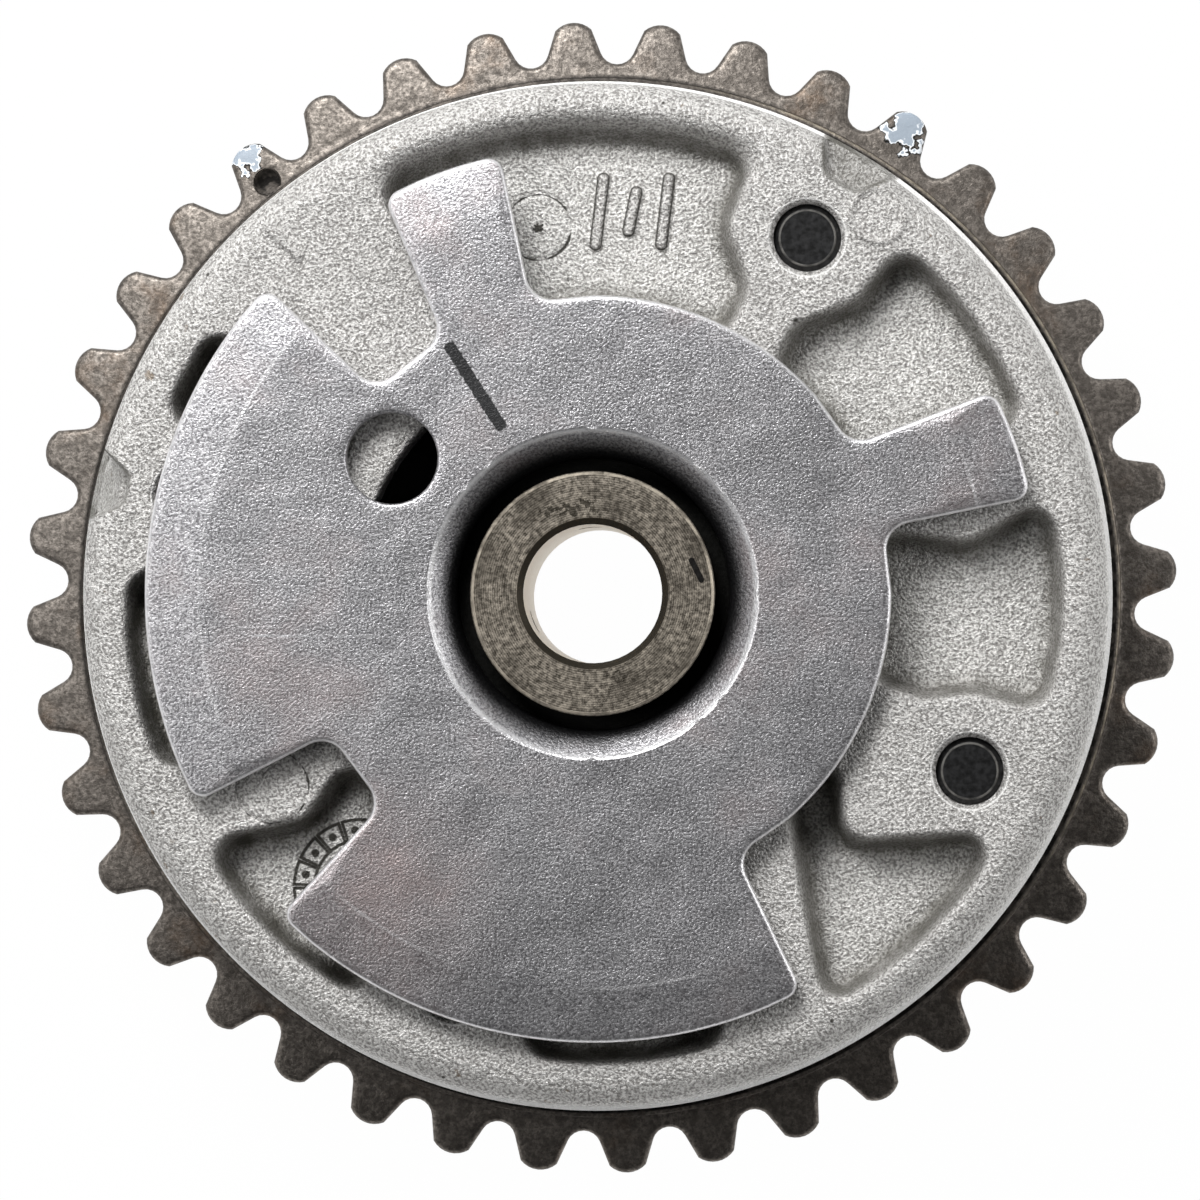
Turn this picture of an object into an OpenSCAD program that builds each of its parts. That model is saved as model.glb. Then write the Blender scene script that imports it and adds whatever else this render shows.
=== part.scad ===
// Hydraulic vane cam phaser: a chain sprocket with a cast vane housing screwed to its face,
// a four-vane rotor inside it and a pressed trigger wheel on the rotor's nose.
// The origin is on the camshaft axis, in the rear face that rests on the ground, with +Z to the front.

/* [Chain sprocket] */
// Chain pitch
chain_pitch = 8; // [7.2:0.05:9]
// Number of teeth
tooth_count = 40; // [37:1:46]
// Angle of the first tooth
tooth_phase = 2.75; // [0:0.05:9]
// Depth of the tooth root below the pitch circle
tooth_root_depth = 2.5; // [2:0.05:3]
// Rise of the tooth tip above the pitch circle
tooth_tip_rise = 1.36; // [1:0.02:1.7]
// Radius of the roller seat between two teeth
tooth_seat_r = 1.6; // [1.3:0.05:1.9]
// Lean of each tooth flank from the middle of its gap
tooth_flank_angle = 23.5; // [20:0.5:27]
// Radius of the rounded tooth crown
tooth_crown_r = 2.3; // [2:0.05:2.8]
// Width of the toothed rim
tooth_w = 4.8; // [3.5:0.1:6]
// Bevel on each side of the tooth tips
tooth_bevel = 0.6; // [0.2:0.05:1.2]
// Drop from the sprocket's front land to its tooth face
tooth_step = 0.8; // [0.4:0.1:1.5]
// Width of the tooth face inside the root circle
tooth_face_w = 1.3; // [0.8:0.1:2]
// Thickness of the sprocket plate
plate_t = 7; // [6:0.1:10]
// Height of the rear hub behind the plate
hub_h = 4; // [3.6:0.1:8]
// Wall of the rear hub round the camshaft bore
hub_wall = 7; // [4:0.1:10]
// Radius of the timing dimple
dimple_r = 1.2; // [0.6:0.05:1.5]
// Depth of the timing dimple
dimple_depth = 1.2; // [0.5:0.1:3]
// Tooth that carries the timing dimple, counted from the first
dimple_tooth = 14; // [0:1:36]

/* [Camshaft fit] */
// Radius of the camshaft bore
cam_bore_r = 15; // [14:0.1:17]
// Depth of the camshaft bore
cam_bore_depth = 8; // [6:0.1:9]
// Shoulder between the camshaft bore and the rotor's pilot
pilot_step = 1; // [0.6:0.1:1.6]
// Radial clearance of the rotor's pilot
pilot_clearance = 0.04; // [0.02:0.01:0.08]
// Radius of the centre bolt bore
bolt_bore_r = 6.1; // [5:0.05:7]
// Chamfer at the mouth of a bore
bore_chamfer = 0.6; // [0.3:0.05:1]
// Radius of the camshaft dowel hole
dowel_r = 2.05; // [1.5:0.05:2.4]
// Depth of the camshaft dowel hole
dowel_depth = 5; // [3:0.1:7]

/* [Housing] */
// Ledge from the tooth root circle in to the housing wall
housing_ledge = 2.4; // [1.8:0.1:4]
// Wall round the oil chambers
housing_wall = 6; // [5:0.1:7]
// Height of the oil chambers
chamber_h = 14; // [12:0.1:20]
// Thickness of the front wall
front_t = 7; // [6:0.1:9]
// Radius of the front shoulder
shoulder_r = 2.6; // [1.5:0.1:4]
// Height of the outer wall's straight foot
wall_foot_h = 9; // [4:0.5:13]
// Inward draft of the outer wall above its foot
wall_draft = 0.9; // [0:0.05:1.5]
// Half angle of each shoe between two chambers
shoe_half_angle = 21; // [19:0.5:22]
// Radial gap between a shoe and the rotor hub
shoe_gap = 0.3; // [0.2:0.05:0.6]
// Radial gap between the front opening and the trigger wheel's collar
opening_gap = 7.4; // [6.4:0.1:8.4]
// Depth of the cast pockets in the front
pocket_depth = 4; // [2:0.1:5]
// Width of a pocket's sloped wall
pocket_slope = 1.8; // [1:0.1:2]
// Rim outside the pockets
pocket_rim = 4.7; // [4:0.1:6]
// Ring between the front opening and the pockets
pocket_ring = 4.4; // [3.6:0.1:5.5]
// Depth of the rim notches
notch_depth = 2; // [0.5:0.1:2.5]
// Reach of the rim notches in from the wall
notch_reach = 4; // [3:0.1:4.4]

/* [Screws and pins] */
// Radius of a screw's thread
screw_r = 2.95; // [2.5:0.05:3.4]
// Inset of the screw circle from the chamber wall
screw_inset = 3.5; // [3:0.1:4]
// Angle of the first screw
screw_first = 59; // [50:0.1:70]
// Angle from one screw to the next
screw_pitch = 84.2; // [82:0.1:86]
// Radius of a screw head
screw_head_r = 5; // [4.5:0.1:6]
// Height of a screw head
screw_head_h = 3.2; // [2.5:0.1:3.4]
// Reach of the six-lobed socket from the screw's middle
socket_r = 2.3; // [1.8:0.05:2.8]
// Radius of one lobe of the socket
socket_lobe_r = 0.6; // [0.4:0.05:0.8]
// Depth of the socket
socket_depth = 2; // [1.2:0.1:2.4]
// Recess of a screw's end below the housing front
screw_recess = 0.6; // [0.3:0.1:1.5]
// Radial clearance of a screw in the housing thread
screw_clearance = 0.05; // [0.03:0.01:0.1]
// Radial clearance of a screw through the sprocket
screw_passage = 0.35; // [0.2:0.05:0.6]
// Radius of the locating pin
locating_pin_r = 2; // [1.5:0.05:2.4]
// Length of the locating pin
locating_pin_l = 8; // [6:0.1:10]

/* [Rotor] */
// Land of the rotor hub outside the front opening
hub_land = 3.6; // [2.5:0.1:4.5]
// Angle that the rotor turns from retard to advance
phase_travel = 20; // [16:0.5:21]
// Angle left between a vane and its stop at each end
stop_angle = 0.5; // [0.4:0.05:1]
// Radial gap between a vane and the chamber wall
vane_gap = 0.2; // [0.1:0.05:0.4]
// Axial gap on each face of the rotor
side_gap = 0.05; // [0.03:0.01:0.1]
// Radius of the nose that the centre bolt clamps
nose_r = 10.75; // [9.5:0.05:11.5]
// Height of the nose above its boss
nose_h = 5; // [3:0.1:7]
// Radius of an oil port
port_r = 1.1; // [0.8:0.05:1.4]

/* [Seals] */
// Width of a seal slot
seal_slot_w = 2; // [1.6:0.05:2.4]
// Depth of a seal slot
seal_slot_depth = 3.2; // [2.8:0.1:4]
// Clearance of a seal in its slot
seal_play = 0.05; // [0.03:0.01:0.1]
// Room under a seal for its leaf spring
seal_spring_room = 0.75; // [0.5:0.05:1]
// Thickness of a leaf spring
seal_spring_t = 0.2; // [0.15:0.01:0.3]
// Width of the face seal's groove
gasket_groove_w = 1.8; // [1.4:0.1:2.2]
// Depth of the face seal's groove
gasket_groove_depth = 1.3; // [0.8:0.1:2]

/* [Lock pin] */
// Radius of the pin's nose
lock_pin_r = 4; // [3.5:0.05:4.4]
// Step from the nose out to the pin's guide
lock_pin_step = 1; // [0.7:0.05:1.3]
// Radial clearance of the pin in the rotor
lock_pin_clearance = 0.04; // [0.02:0.01:0.06]
// Length of the nose bore in the rotor
lock_nose_l = 4; // [3:0.1:5]
// Radial clearance of the nose in its seat
lock_seat_clearance = 0.25; // [0.1:0.05:0.4]
// Lift that has pulled the pin out of its seat
lock_pin_lift = 2.6; // [2:0.1:3]
// Travel left above the lifted pin
lock_pin_travel = 1; // [0.6:0.1:1.4]
// Wall of the hollow pin
lock_pin_wall = 1.3; // [1:0.05:1.6]
// Thickness of the pin's floor
lock_pin_floor = 2.2; // [1.6:0.1:3]
// Thickness of the cap that holds the spring
lock_cap_t = 1.5; // [1:0.1:2]
// Radius of the vent in that cap
lock_vent_r = 1; // [0.6:0.1:1.5]
// Wall of the hardened seat ring
lock_seat_wall = 1.8; // [1.2:0.1:2.4]
// Depth of the seat ring in the sprocket
lock_seat_depth = 4; // [3:0.1:5]
// Wall between the pin's bore and the vane's seal slot
lock_slot_wall = 0.7; // [0.5:0.05:1.2]
// Wire radius of the pin's spring
lock_wire_r = 0.3; // [0.2:0.02:0.4]
// Turns of the pin's spring
lock_turns = 6; // [4:1:8]

/* [Trigger wheel] */
// Sheet thickness
wheel_t = 1.5; // [1.2:0.1:2]
// Radius of the wheel's lobes
wheel_r = 39.4; // [36:0.1:42]
// Radius of the wheel between its lobes
wheel_body_r = 26.2; // [24:0.1:28]
// Inner radius of the collar that sits on the rotor
collar_r = 12; // [11.6:0.05:13.3]
// Radius of the bend into the collar
collar_bend_r = 2.4; // [1.6:0.1:3]
// Gap between the wheel and the housing front
wheel_gap = 1; // [0.6:0.1:2]
// Radius of the bend line where the lobes start to slope
wheel_crease_r = 34.6; // [32:0.1:36]
// Drop of the lobes' edge below the flat
wheel_drop = 0.35; // [0:0.05:0.5]
// Radius of the gauge hole
gauge_hole_r = 4; // [2:0.1:4.4]
// Distance of the gauge hole from the axis
gauge_circle_r = 21.25; // [20:0.05:21.6]
// Angle of the gauge hole
gauge_angle = 146; // [140:0.5:200]
// Radius of a lobe's outer corner
lobe_corner_r = 1.4; // [0.5:0.1:2]
// Radius of the fillet where a lobe meets the body
lobe_fillet_r = 2.3; // [1:0.1:3]

/* [Hidden] */
$fn = 64;
// Overlap that carries a cut past the face it opens
cut = 1;
// Stretch that a fillet may take up on each side of its corner, in fillet radii
fillet_room = 2.4;

// Lobe edges as inner and outer angle: where each lobe starts and where it ends
LOBES = [
    [[12.7, 12.3], [29.8, 26.8]],
    [[101.8, 101.9], [120.3, 117.8]],
    [[136.9, 136.7], [208.1, 207.7]],
    [[224.9, 225.8], [298.9, 297.8]],
];

// Sprocket radii
half_pitch = 180 / tooth_count;
pitch_r = chain_pitch / (2 * sin(half_pitch));
root_r = pitch_r - tooth_root_depth;
tip_r = pitch_r + tooth_tip_rise;
land_r = root_r - tooth_face_w;
hub_r = cam_bore_r + hub_wall;
pilot_r = cam_bore_r - pilot_step;

// Levels along the axis, from the rear face to the front
plate_front = hub_h + plate_t;
tooth_front = plate_front - tooth_step;
chamber_front = plate_front + chamber_h;
housing_front = chamber_front + front_t;
wheel_under = housing_front + wheel_gap;
nose_front = wheel_under + wheel_t;
rotor_rear = plate_front + side_gap;
rotor_front = chamber_front - side_gap;
rotor_h = rotor_front - rotor_rear;

// Housing radii
housing_r = root_r - housing_ledge;
chamber_r = housing_r - housing_wall;
screw_circle_r = chamber_r - screw_inset;
collar_outer_r = collar_r + wheel_t;
opening_r = collar_outer_r + opening_gap;
rotor_hub_r = opening_r + hub_land;
shoe_r = rotor_hub_r + shoe_gap;
pocket_outer_r = housing_r - pocket_rim;
pocket_inner_r = opening_r + pocket_ring;
vane_r = chamber_r - vane_gap;

// Screw angles, counter-clockwise; the last gap is the wide one that takes the lock pin's vane
screw_count = 4;
SCREWS = [for (i = [0:screw_count - 1]) screw_first + screw_pitch * (i + 1 - screw_count)];
wide_gap = 360 - screw_pitch * (screw_count - 1);
function gap_after(i) = i == screw_count - 1 ? wide_gap : screw_pitch;

// Vanes as start and end angle, resting at the counter-clockwise stop of their chambers
VANES = [
    for (i = [0:screw_count - 1])
        let (stop = SCREWS[i] + gap_after(i) - shoe_half_angle - stop_angle)
        let (width = gap_after(i) - 2 * (shoe_half_angle + stop_angle) - phase_travel)
        [stop - width, stop]
];
function middle(span) = (span[0] + span[1]) / 2;
lock_angle = middle(VANES[screw_count - 1]);

// Front pockets: the screw they lie beside, and the corners of their two sides as
// [share of the way from the inner to the outer radius, angle from that screw, fillet radius]
ADVANCE_NEAR = [[0, 7.6, 3], [0.33, 7.4, 3], [0.58, 10.5, 3], [1, 10.2, 2.6]];
WIDE_NEAR = [[0, 3.2, 2.4], [0.32, 3.9, 3], [0.56, 10.7, 3], [1, 10.6, 2.6]];
ADVANCE_FAR = [[1, 37.8, 2.4], [0.5, 33.4, 3], [0, 38.5, 2.4]];
RETARD_NEAR = [[1, -10.2, 2.6], [0.58, -10.6, 3], [0.26, -5.4, 3], [0, -7, 2.4]];
RETARD_FAR = [[0, -37.6, 2.4], [0.44, -33, 3], [1, -38.8, 2.4]];
WIDE_FAR = [[1, 59.4, 2.6], [0, 57, 2.6]];
SHORT_FAR = [[0, -22, 2.4], [1, -21.8, 2.4]];
SHORT_NEAR = [[1, -8.2, 2.6], [0.58, -9, 3], [0.26, -5.4, 3], [0, -7, 2.4]];
BOOT_FAR = [[-0.15, -19, 2.1], [1.04, -36.2, 2.2]];
BOOT_NEAR = [[1.04, -4.4, 2.1], [0.36, -18.8, 2], [0, -7.5, 2.1]];
POCKETS = [
    [0, ADVANCE_NEAR, ADVANCE_FAR],
    [1, ADVANCE_NEAR, ADVANCE_FAR],
    [2, ADVANCE_NEAR, ADVANCE_FAR],
    [3, WIDE_NEAR, WIDE_FAR],
    [0, SHORT_FAR, SHORT_NEAR],
    [1, RETARD_FAR, RETARD_NEAR],
    [2, BOOT_FAR, BOOT_NEAR],
    [3, RETARD_FAR, RETARD_NEAR],
];
// A pocket's wall as [share of the slope's width, share of the depth], from above the front to the floor
POCKET_WALL = [[-0.12, -0.1], [0.72, 0.86], [1, 1]];
// Rim notches: the screw they lie beside, their inner corners and how far they open at the rim
NOTCHES = [[3, -2.4, 2.2, 2.6], [0, -0.9, 3, 2.4]];
notch_corner_r = 1.5;
notch_slope = 0.6;

// Seals and springs
seal_h = rotor_h - 2 * seal_play;
seal_w = seal_slot_w - 2 * seal_play;
seal_tip_gap = 0.05;
spring_end_gap = 1.2;
spring_play = 0.05;
gasket_r = (chamber_r + housing_r) / 2;
gasket_play = 0.1;

// Screws and locating pin
screw_tip_z = housing_front - screw_recess;
screw_tip_chamfer = 0.5;
screw_hole_r = screw_r + screw_clearance;
thread_chamfer = 0.4;
locating_angle = SCREWS[0] - shoe_half_angle / 2;
locating_play = 0.03;
locating_rear = plate_front - locating_pin_l / 2;

// Lock pin levels, with the pin lifted clear of its seat
lock_guide_r = lock_pin_r + lock_pin_step;
lock_circle_r = vane_r - seal_slot_depth - lock_slot_wall - lock_pin_clearance - lock_guide_r;
lock_tip_gap = 0.1;
lock_tip = rotor_rear + lock_tip_gap;
lock_bore_step = rotor_rear + lock_nose_l;
lock_guide_rear = lock_bore_step + lock_pin_lift;
lock_cap_rear = rotor_front - lock_cap_t;
lock_top_gap = 0.2;
lock_top = lock_cap_rear - lock_pin_travel - lock_top_gap;
lock_seat_r = lock_pin_r + lock_seat_wall;
lock_seat_bore = lock_pin_r + lock_seat_clearance;

// Rotor front
boss_fit = 0.03;
boss_r = collar_r - boss_fit;
boss_front = nose_front - nose_h;
nose_chamfer = 0.3;
feed_circle_r = (bolt_bore_r + pilot_r) / 2;
port_offset = 5;
port_level = rotor_h / 4;
dowel_angle = 90;

// Outline helpers

function polar(r, a) = [r * cos(a), r * sin(a)];
function unit(v) = v / norm(v);
function after(list, i) = list[(i + 1) % len(list)];
function before(list, i) = list[(i + len(list) - 1) % len(list)];
function last(list) = list[len(list) - 1];

// Arc that rounds the corner p between a and b; a radius of 0 keeps the corner
function fillet(a, p, b, r, steps = 4) =
    r == 0 ? [p] :
    let (u = unit(a - p), v = unit(b - p))
    let (half = acos(u * v) / 2)
    let (centre = p + unit(u + v) * r / sin(half))
    let (start = p + u * r / tan(half) - centre)
    let (first = atan2(start.y, start.x))
    let (sweep = (180 - 2 * half) * (cross(u, v) < 0 ? 1 : -1))
    [for (i = [0:steps]) centre + polar(r, first + sweep * i / steps)];

// Closed outline through [x, y, fillet radius] corners
function rounded(corners) = [
    for (i = [0:len(corners) - 1])
        let (a = before(corners, i), p = corners[i], b = after(corners, i))
        each fillet([a.x, a.y], [p.x, p.y], [b.x, b.y], p[2])
];

// Corner at [radius, angle, fillet radius], as [x, y, fillet radius]
function corner(c) = concat(polar(c[0], c[1]), c[2]);

// Plain points of the arc from one filleted corner to the next, clear of their fillets;
// none where the corners lie on two circles or leave no room. A corner is [radius, angle, fillet radius].
function arc_between(from, to, step = 8) =
    let (span = to[1] - from[1])
    let (margin = sign(span) * max(from[2], to[2]) * fillet_room / from[0] * 180 / PI)
    let (rest = span - 2 * margin)
    let (count = max(1, round(abs(rest) / step)))
    abs(from[0] - to[0]) > 0.001 || rest * span <= 0 ? [] :
    [for (i = [0:count]) corner([from[0], from[1] + margin + rest * i / count, 0])];

// Outline moved inwards by d along its own normals; the points run counter-clockwise
function inset(points, d) = [
    for (i = [0:len(points) - 1])
        let (e = unit(points[i] - before(points, i)), f = unit(after(points, i) - points[i]))
        let (m = unit([-e.y - f.y, e.x + f.x]))
        points[i] + m * d / (m * [-e.y, e.x])
];

// Solid lofted down through rings of equal point counts
module loft(rings) {
    n = len(rings[0]);
    count = len(rings);
    sides = [
        for (k = [0:count - 2], i = [0:n - 1])
            let (j = (i + 1) % n)
            each [
                [k * n + i, k * n + j, (k + 1) * n + j],
                [k * n + i, (k + 1) * n + j, (k + 1) * n + i],
            ]
    ];
    lid = [for (i = [n - 1:-1:0]) i];
    floor_face = [for (i = [0:n - 1]) (count - 1) * n + i];
    polyhedron([for (ring = rings) each ring], concat(sides, [lid, floor_face]));
}

// Recess with a soft S-shaped wall, sunk below the housing front
module soft_recess(outline, depth, slope) {
    loft([
        for (w = POCKET_WALL)
            [for (p = inset(outline, w[0] * slope)) [p.x, p.y, housing_front - w[1] * depth]]
    ]);
}

module at_angle(r, a) {
    rotate(a) translate([r, 0, 0]) children();
}

module bore(r, z0, z1) {
    translate([0, 0, z0]) cylinder(r = r, h = z1 - z0);
}

module ring(r_out, r_in, z0, z1) {
    difference() {
        bore(r_out, z0, z1);
        bore(r_in, z0 - cut, z1 + cut);
    }
}

// Chamfer that opens a bore's mouth; way is 1 for a mouth that faces up and -1 for one that faces down
module mouth(r, z, chamfer, way) {
    reach = chamfer + cut;
    translate([0, 0, way > 0 ? z - chamfer : z - cut])
        cylinder(r1 = way > 0 ? r : r + reach, r2 = way > 0 ? r + reach : r, h = reach);
}

// Prism of a wedge from angle a0 to a1, less than half a turn
module wedge(r, a0, a1, z0, z1) {
    reach = r / cos((a1 - a0) / 2) + cut;
    translate([0, 0, z0])
        linear_extrude(z1 - z0)
            polygon([[0, 0], polar(reach, a0), polar(reach, a1)]);
}

// Sprocket

// Half of a roller seat's arc, from its bottom to where the flank leaves it
seat_half = 90 - tooth_flank_angle;

// Roller seat in the gap at angle a, counter-clockwise round the axis
function seat_points(a, steps = 6) =
    let (centre = polar(root_r + tooth_seat_r, a))
    [for (i = [0:steps]) centre + polar(tooth_seat_r, a + 180 + seat_half * (1 - 2 * i / steps))];

// Half of a crown's arc: where the flank's line runs into the crown of the tooth at angle 0
function crown_half() =
    let (foot = last(seat_points(-half_pitch)))
    let (way = polar(1, tooth_flank_angle - half_pitch))
    let (crown = [tip_r - tooth_crown_r, 0])
    let (along = (crown - foot) * way)
    let (off = norm(crown - foot - along * way))
    let (meet = foot + way * (along + sqrt(max(0, tooth_crown_r ^ 2 - off ^ 2))) - crown)
    abs(atan2(meet.y, meet.x));

// Crown of the tooth at angle a, counter-clockwise round the axis
function crown_points(a, steps = 6) =
    let (half = crown_half(), centre = polar(tip_r - tooth_crown_r, a))
    [for (i = [0:steps]) centre + polar(tooth_crown_r, a - half + 2 * half * i / steps)];

function tooth_outline() = [
    for (i = [0:tooth_count - 1])
        let (a = tooth_phase + 2 * half_pitch * i)
        each concat(seat_points(a - half_pitch), crown_points(a))
];

// Rim blank whose bevels narrow the teeth towards their tips
module tooth_blank() {
    rear = tooth_front - tooth_w;
    outer = tip_r + cut;
    rotate_extrude()
        polygon([
            [0, rear], [root_r, rear], [outer, rear + tooth_bevel],
            [outer, tooth_front - tooth_bevel], [root_r, tooth_front], [0, tooth_front],
        ]);
}

module sprocket() {
    color("dimgray")
        difference() {
            union() {
                intersection() {
                    translate([0, 0, tooth_front - tooth_w - cut])
                        linear_extrude(tooth_w + 2 * cut) polygon(tooth_outline());
                    tooth_blank();
                }
                bore(land_r, hub_h, plate_front);
                bore(hub_r, 0, hub_h + cut);
            }
            bore(cam_bore_r, -cut, cam_bore_depth);
            bore(pilot_r, cam_bore_depth - cut, plate_front + cut);
            mouth(cam_bore_r, 0, bore_chamfer, -1);
            for (a = SCREWS)
                at_angle(screw_circle_r, a) bore(screw_r + screw_passage, hub_h - cut, plate_front + cut);
            at_angle(screw_circle_r, locating_angle)
                bore(locating_pin_r + locating_play, locating_rear, plate_front + cut);
            at_angle(lock_circle_r, lock_angle)
                bore(lock_seat_r, plate_front - lock_seat_depth, plate_front + cut);
            at_angle(root_r, tooth_phase + 2 * half_pitch * dimple_tooth)
                bore(dimple_r, tooth_front - dimple_depth, tooth_front + cut);
        }
}

// Housing

// Outline of a front pocket, counter-clockwise
function pocket_outline(pocket) =
    let (screw = SCREWS[pocket[0]], reach = pocket_outer_r - pocket_inner_r)
    let (a = [for (c = pocket[1]) [pocket_inner_r + c[0] * reach, screw + c[1], c[2]]])
    let (b = [for (c = pocket[2]) [pocket_inner_r + c[0] * reach, screw + c[1], c[2]]])
    rounded(concat(
        [for (c = a) corner(c)],
        arc_between(last(a), b[0]),
        [for (c = b) corner(c)],
        arc_between(last(b), a[0])
    ));

// Outline of a rim notch, open past the housing wall
function notch_outline(notch) =
    let (screw = SCREWS[notch[0]], inner = housing_r - notch_reach, outer = housing_r + notch_reach)
    rounded([
        corner([outer, screw + notch[1] - 2 * notch[3], 0]),
        corner([outer, screw + notch[2] + 2 * notch[3], 0]),
        corner([inner, screw + notch[2], notch_corner_r]),
        corner([inner, screw + notch[1], notch_corner_r]),
    ]);

module housing_blank() {
    top_r = housing_r - wall_draft;
    shoulder_z = housing_front - shoulder_r;
    rotate_extrude()
        union() {
            polygon([
                [0, plate_front], [housing_r, plate_front], [housing_r, plate_front + wall_foot_h],
                [top_r, shoulder_z], [0, shoulder_z],
            ]);
            translate([0, shoulder_z - cut]) square([top_r - shoulder_r, shoulder_r + cut]);
            translate([top_r - shoulder_r, shoulder_z]) circle(r = shoulder_r);
        }
}

module chambers() {
    bore(shoe_r, plate_front - cut, chamber_front);
    for (i = [0:screw_count - 1])
        intersection() {
            bore(chamber_r, plate_front - cut, chamber_front);
            wedge(chamber_r, SCREWS[i] + shoe_half_angle,
                SCREWS[i] + gap_after(i) - shoe_half_angle, plate_front - cut, chamber_front);
        }
}

module housing() {
    color("lightgray")
        difference() {
            housing_blank();
            chambers();
            bore(opening_r, chamber_front - cut, housing_front + cut);
            ring(gasket_r + gasket_groove_w / 2, gasket_r - gasket_groove_w / 2,
                plate_front - cut, plate_front + gasket_groove_depth);
            for (a = SCREWS) {
                at_angle(screw_circle_r, a) {
                    bore(screw_hole_r, plate_front - cut, housing_front + cut);
                    mouth(screw_hole_r, housing_front, thread_chamfer, 1);
                }
                seal_slot(shoe_r, a, 1);
            }
            at_angle(screw_circle_r, locating_angle)
                bore(locating_pin_r + locating_play, plate_front - cut, locating_rear + locating_pin_l);
            for (p = POCKETS) soft_recess(pocket_outline(p), pocket_depth, pocket_slope);
            for (n = NOTCHES) soft_recess(notch_outline(n), notch_depth, notch_slope);
        }
}

// Screws, pins and face seal

// Six-lobed socket in a screw head
module lobed_socket(z0, z1) {
    core_r = socket_r - socket_lobe_r;
    bore(core_r, z0, z1);
    for (i = [0:5]) at_angle(core_r, 60 * i) bore(socket_lobe_r, z0, z1);
}

module housing_screws() {
    color([0.12, 0.12, 0.13])
        for (a = SCREWS)
            at_angle(screw_circle_r, a)
                difference() {
                    union() {
                        bore(screw_r, hub_h - cut, screw_tip_z - screw_tip_chamfer);
                        translate([0, 0, screw_tip_z - screw_tip_chamfer])
                            cylinder(r1 = screw_r, r2 = screw_r - screw_tip_chamfer, h = screw_tip_chamfer);
                        bore(screw_head_r, hub_h - screw_head_h, hub_h);
                    }
                    lobed_socket(hub_h - screw_head_h - cut, hub_h - screw_head_h + socket_depth);
                }
}

module locating_pin() {
    color("silver")
        at_angle(screw_circle_r, locating_angle)
            bore(locating_pin_r, locating_rear, locating_rear + locating_pin_l);
}

module face_seal() {
    half_w = gasket_groove_w / 2 - gasket_play;
    color([0.1, 0.1, 0.1])
        ring(gasket_r + half_w, gasket_r - half_w, plate_front,
            plate_front + gasket_groove_depth - gasket_play);
}

module lock_pin_seat() {
    color("silver")
        at_angle(lock_circle_r, lock_angle)
            ring(lock_seat_r, lock_seat_bore, plate_front - lock_seat_depth, plate_front);
}

// Rotor

// Slot for a seal bar; way is 1 where it opens inwards, in a shoe, and -1 where it opens outwards, in a vane
module seal_slot(r, a, way) {
    depth = seal_slot_depth + cut;
    at_angle(way > 0 ? r - cut : r - seal_slot_depth, a)
        translate([0, -seal_slot_w / 2, plate_front - cut])
            cube([depth, seal_slot_w, chamber_h + (way > 0 ? cut : 2 * cut)]);
}

module vane(span) {
    intersection() {
        bore(vane_r, rotor_rear, rotor_front);
        wedge(vane_r, span[0], span[1], rotor_rear - cut, rotor_front + cut);
    }
}

// Radial oil port from radius r_in out through the hub
module oil_port(a, r_in, z) {
    rotate(a) translate([r_in, 0, z]) rotate([0, 90, 0]) cylinder(r = port_r, h = rotor_hub_r + cut - r_in);
}

module oil_ways() {
    for (span = VANES) {
        oil_port(span[0] - port_offset, bolt_bore_r - cut, rotor_front - port_level);
        oil_port(span[1] + port_offset, feed_circle_r, rotor_rear + port_level);
        at_angle(feed_circle_r, span[1] + port_offset)
            bore(port_r, cam_bore_depth - cut, rotor_rear + port_level);
    }
}

module lock_pin_bore() {
    at_angle(lock_circle_r, lock_angle) {
        bore(lock_pin_r + lock_pin_clearance, rotor_rear - cut, rotor_front);
        bore(lock_guide_r + lock_pin_clearance, lock_bore_step, rotor_front + cut);
    }
}

module rotor() {
    color([0.45, 0.41, 0.36])
        difference() {
            union() {
                bore(pilot_r - pilot_clearance, cam_bore_depth, rotor_rear + cut);
                bore(rotor_hub_r, rotor_rear, rotor_front);
                for (span = VANES) vane(span);
                bore(boss_r, rotor_front - cut, boss_front);
                bore(nose_r, boss_front - cut, nose_front - nose_chamfer);
                translate([0, 0, nose_front - nose_chamfer])
                    cylinder(r1 = nose_r, r2 = nose_r - nose_chamfer, h = nose_chamfer);
            }
            bore(bolt_bore_r, cam_bore_depth - cut, nose_front + cut);
            mouth(bolt_bore_r, nose_front, bore_chamfer, 1);
            at_angle(feed_circle_r, dowel_angle)
                bore(dowel_r, cam_bore_depth - cut, cam_bore_depth + dowel_depth);
            for (span = VANES) seal_slot(vane_r, middle(span), -1);
            lock_pin_bore();
            oil_ways();
        }
}

// Lock pin, its spring and its cap

module lock_pin() {
    color("gainsboro")
        at_angle(lock_circle_r, lock_angle)
            difference() {
                union() {
                    bore(lock_pin_r, lock_tip, lock_guide_rear + cut);
                    bore(lock_guide_r, lock_guide_rear, lock_top);
                }
                bore(lock_pin_r - lock_pin_wall, lock_tip + lock_pin_floor, lock_top + cut);
            }
}

// Coil spring between the pin's floor and the cap, its wire swept along a helix
module lock_pin_spring() {
    turn_steps = 14;
    wire_steps = 8;
    coil_r = lock_pin_r - lock_pin_wall - 2 * lock_wire_r;
    z0 = lock_tip + lock_pin_floor + lock_wire_r;
    rise = lock_cap_rear - lock_wire_r - z0;
    count = turn_steps * lock_turns;
    rings = [
        for (k = [count:-1:0])
            [for (j = [0:wire_steps - 1])
                let (w = polar(lock_wire_r, 360 * j / wire_steps))
                concat(polar(coil_r + w.x, 360 * k / turn_steps), z0 + rise * k / count + w.y)]
    ];
    color("darkgray") at_angle(lock_circle_r, lock_angle) loft(rings);
}

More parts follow.
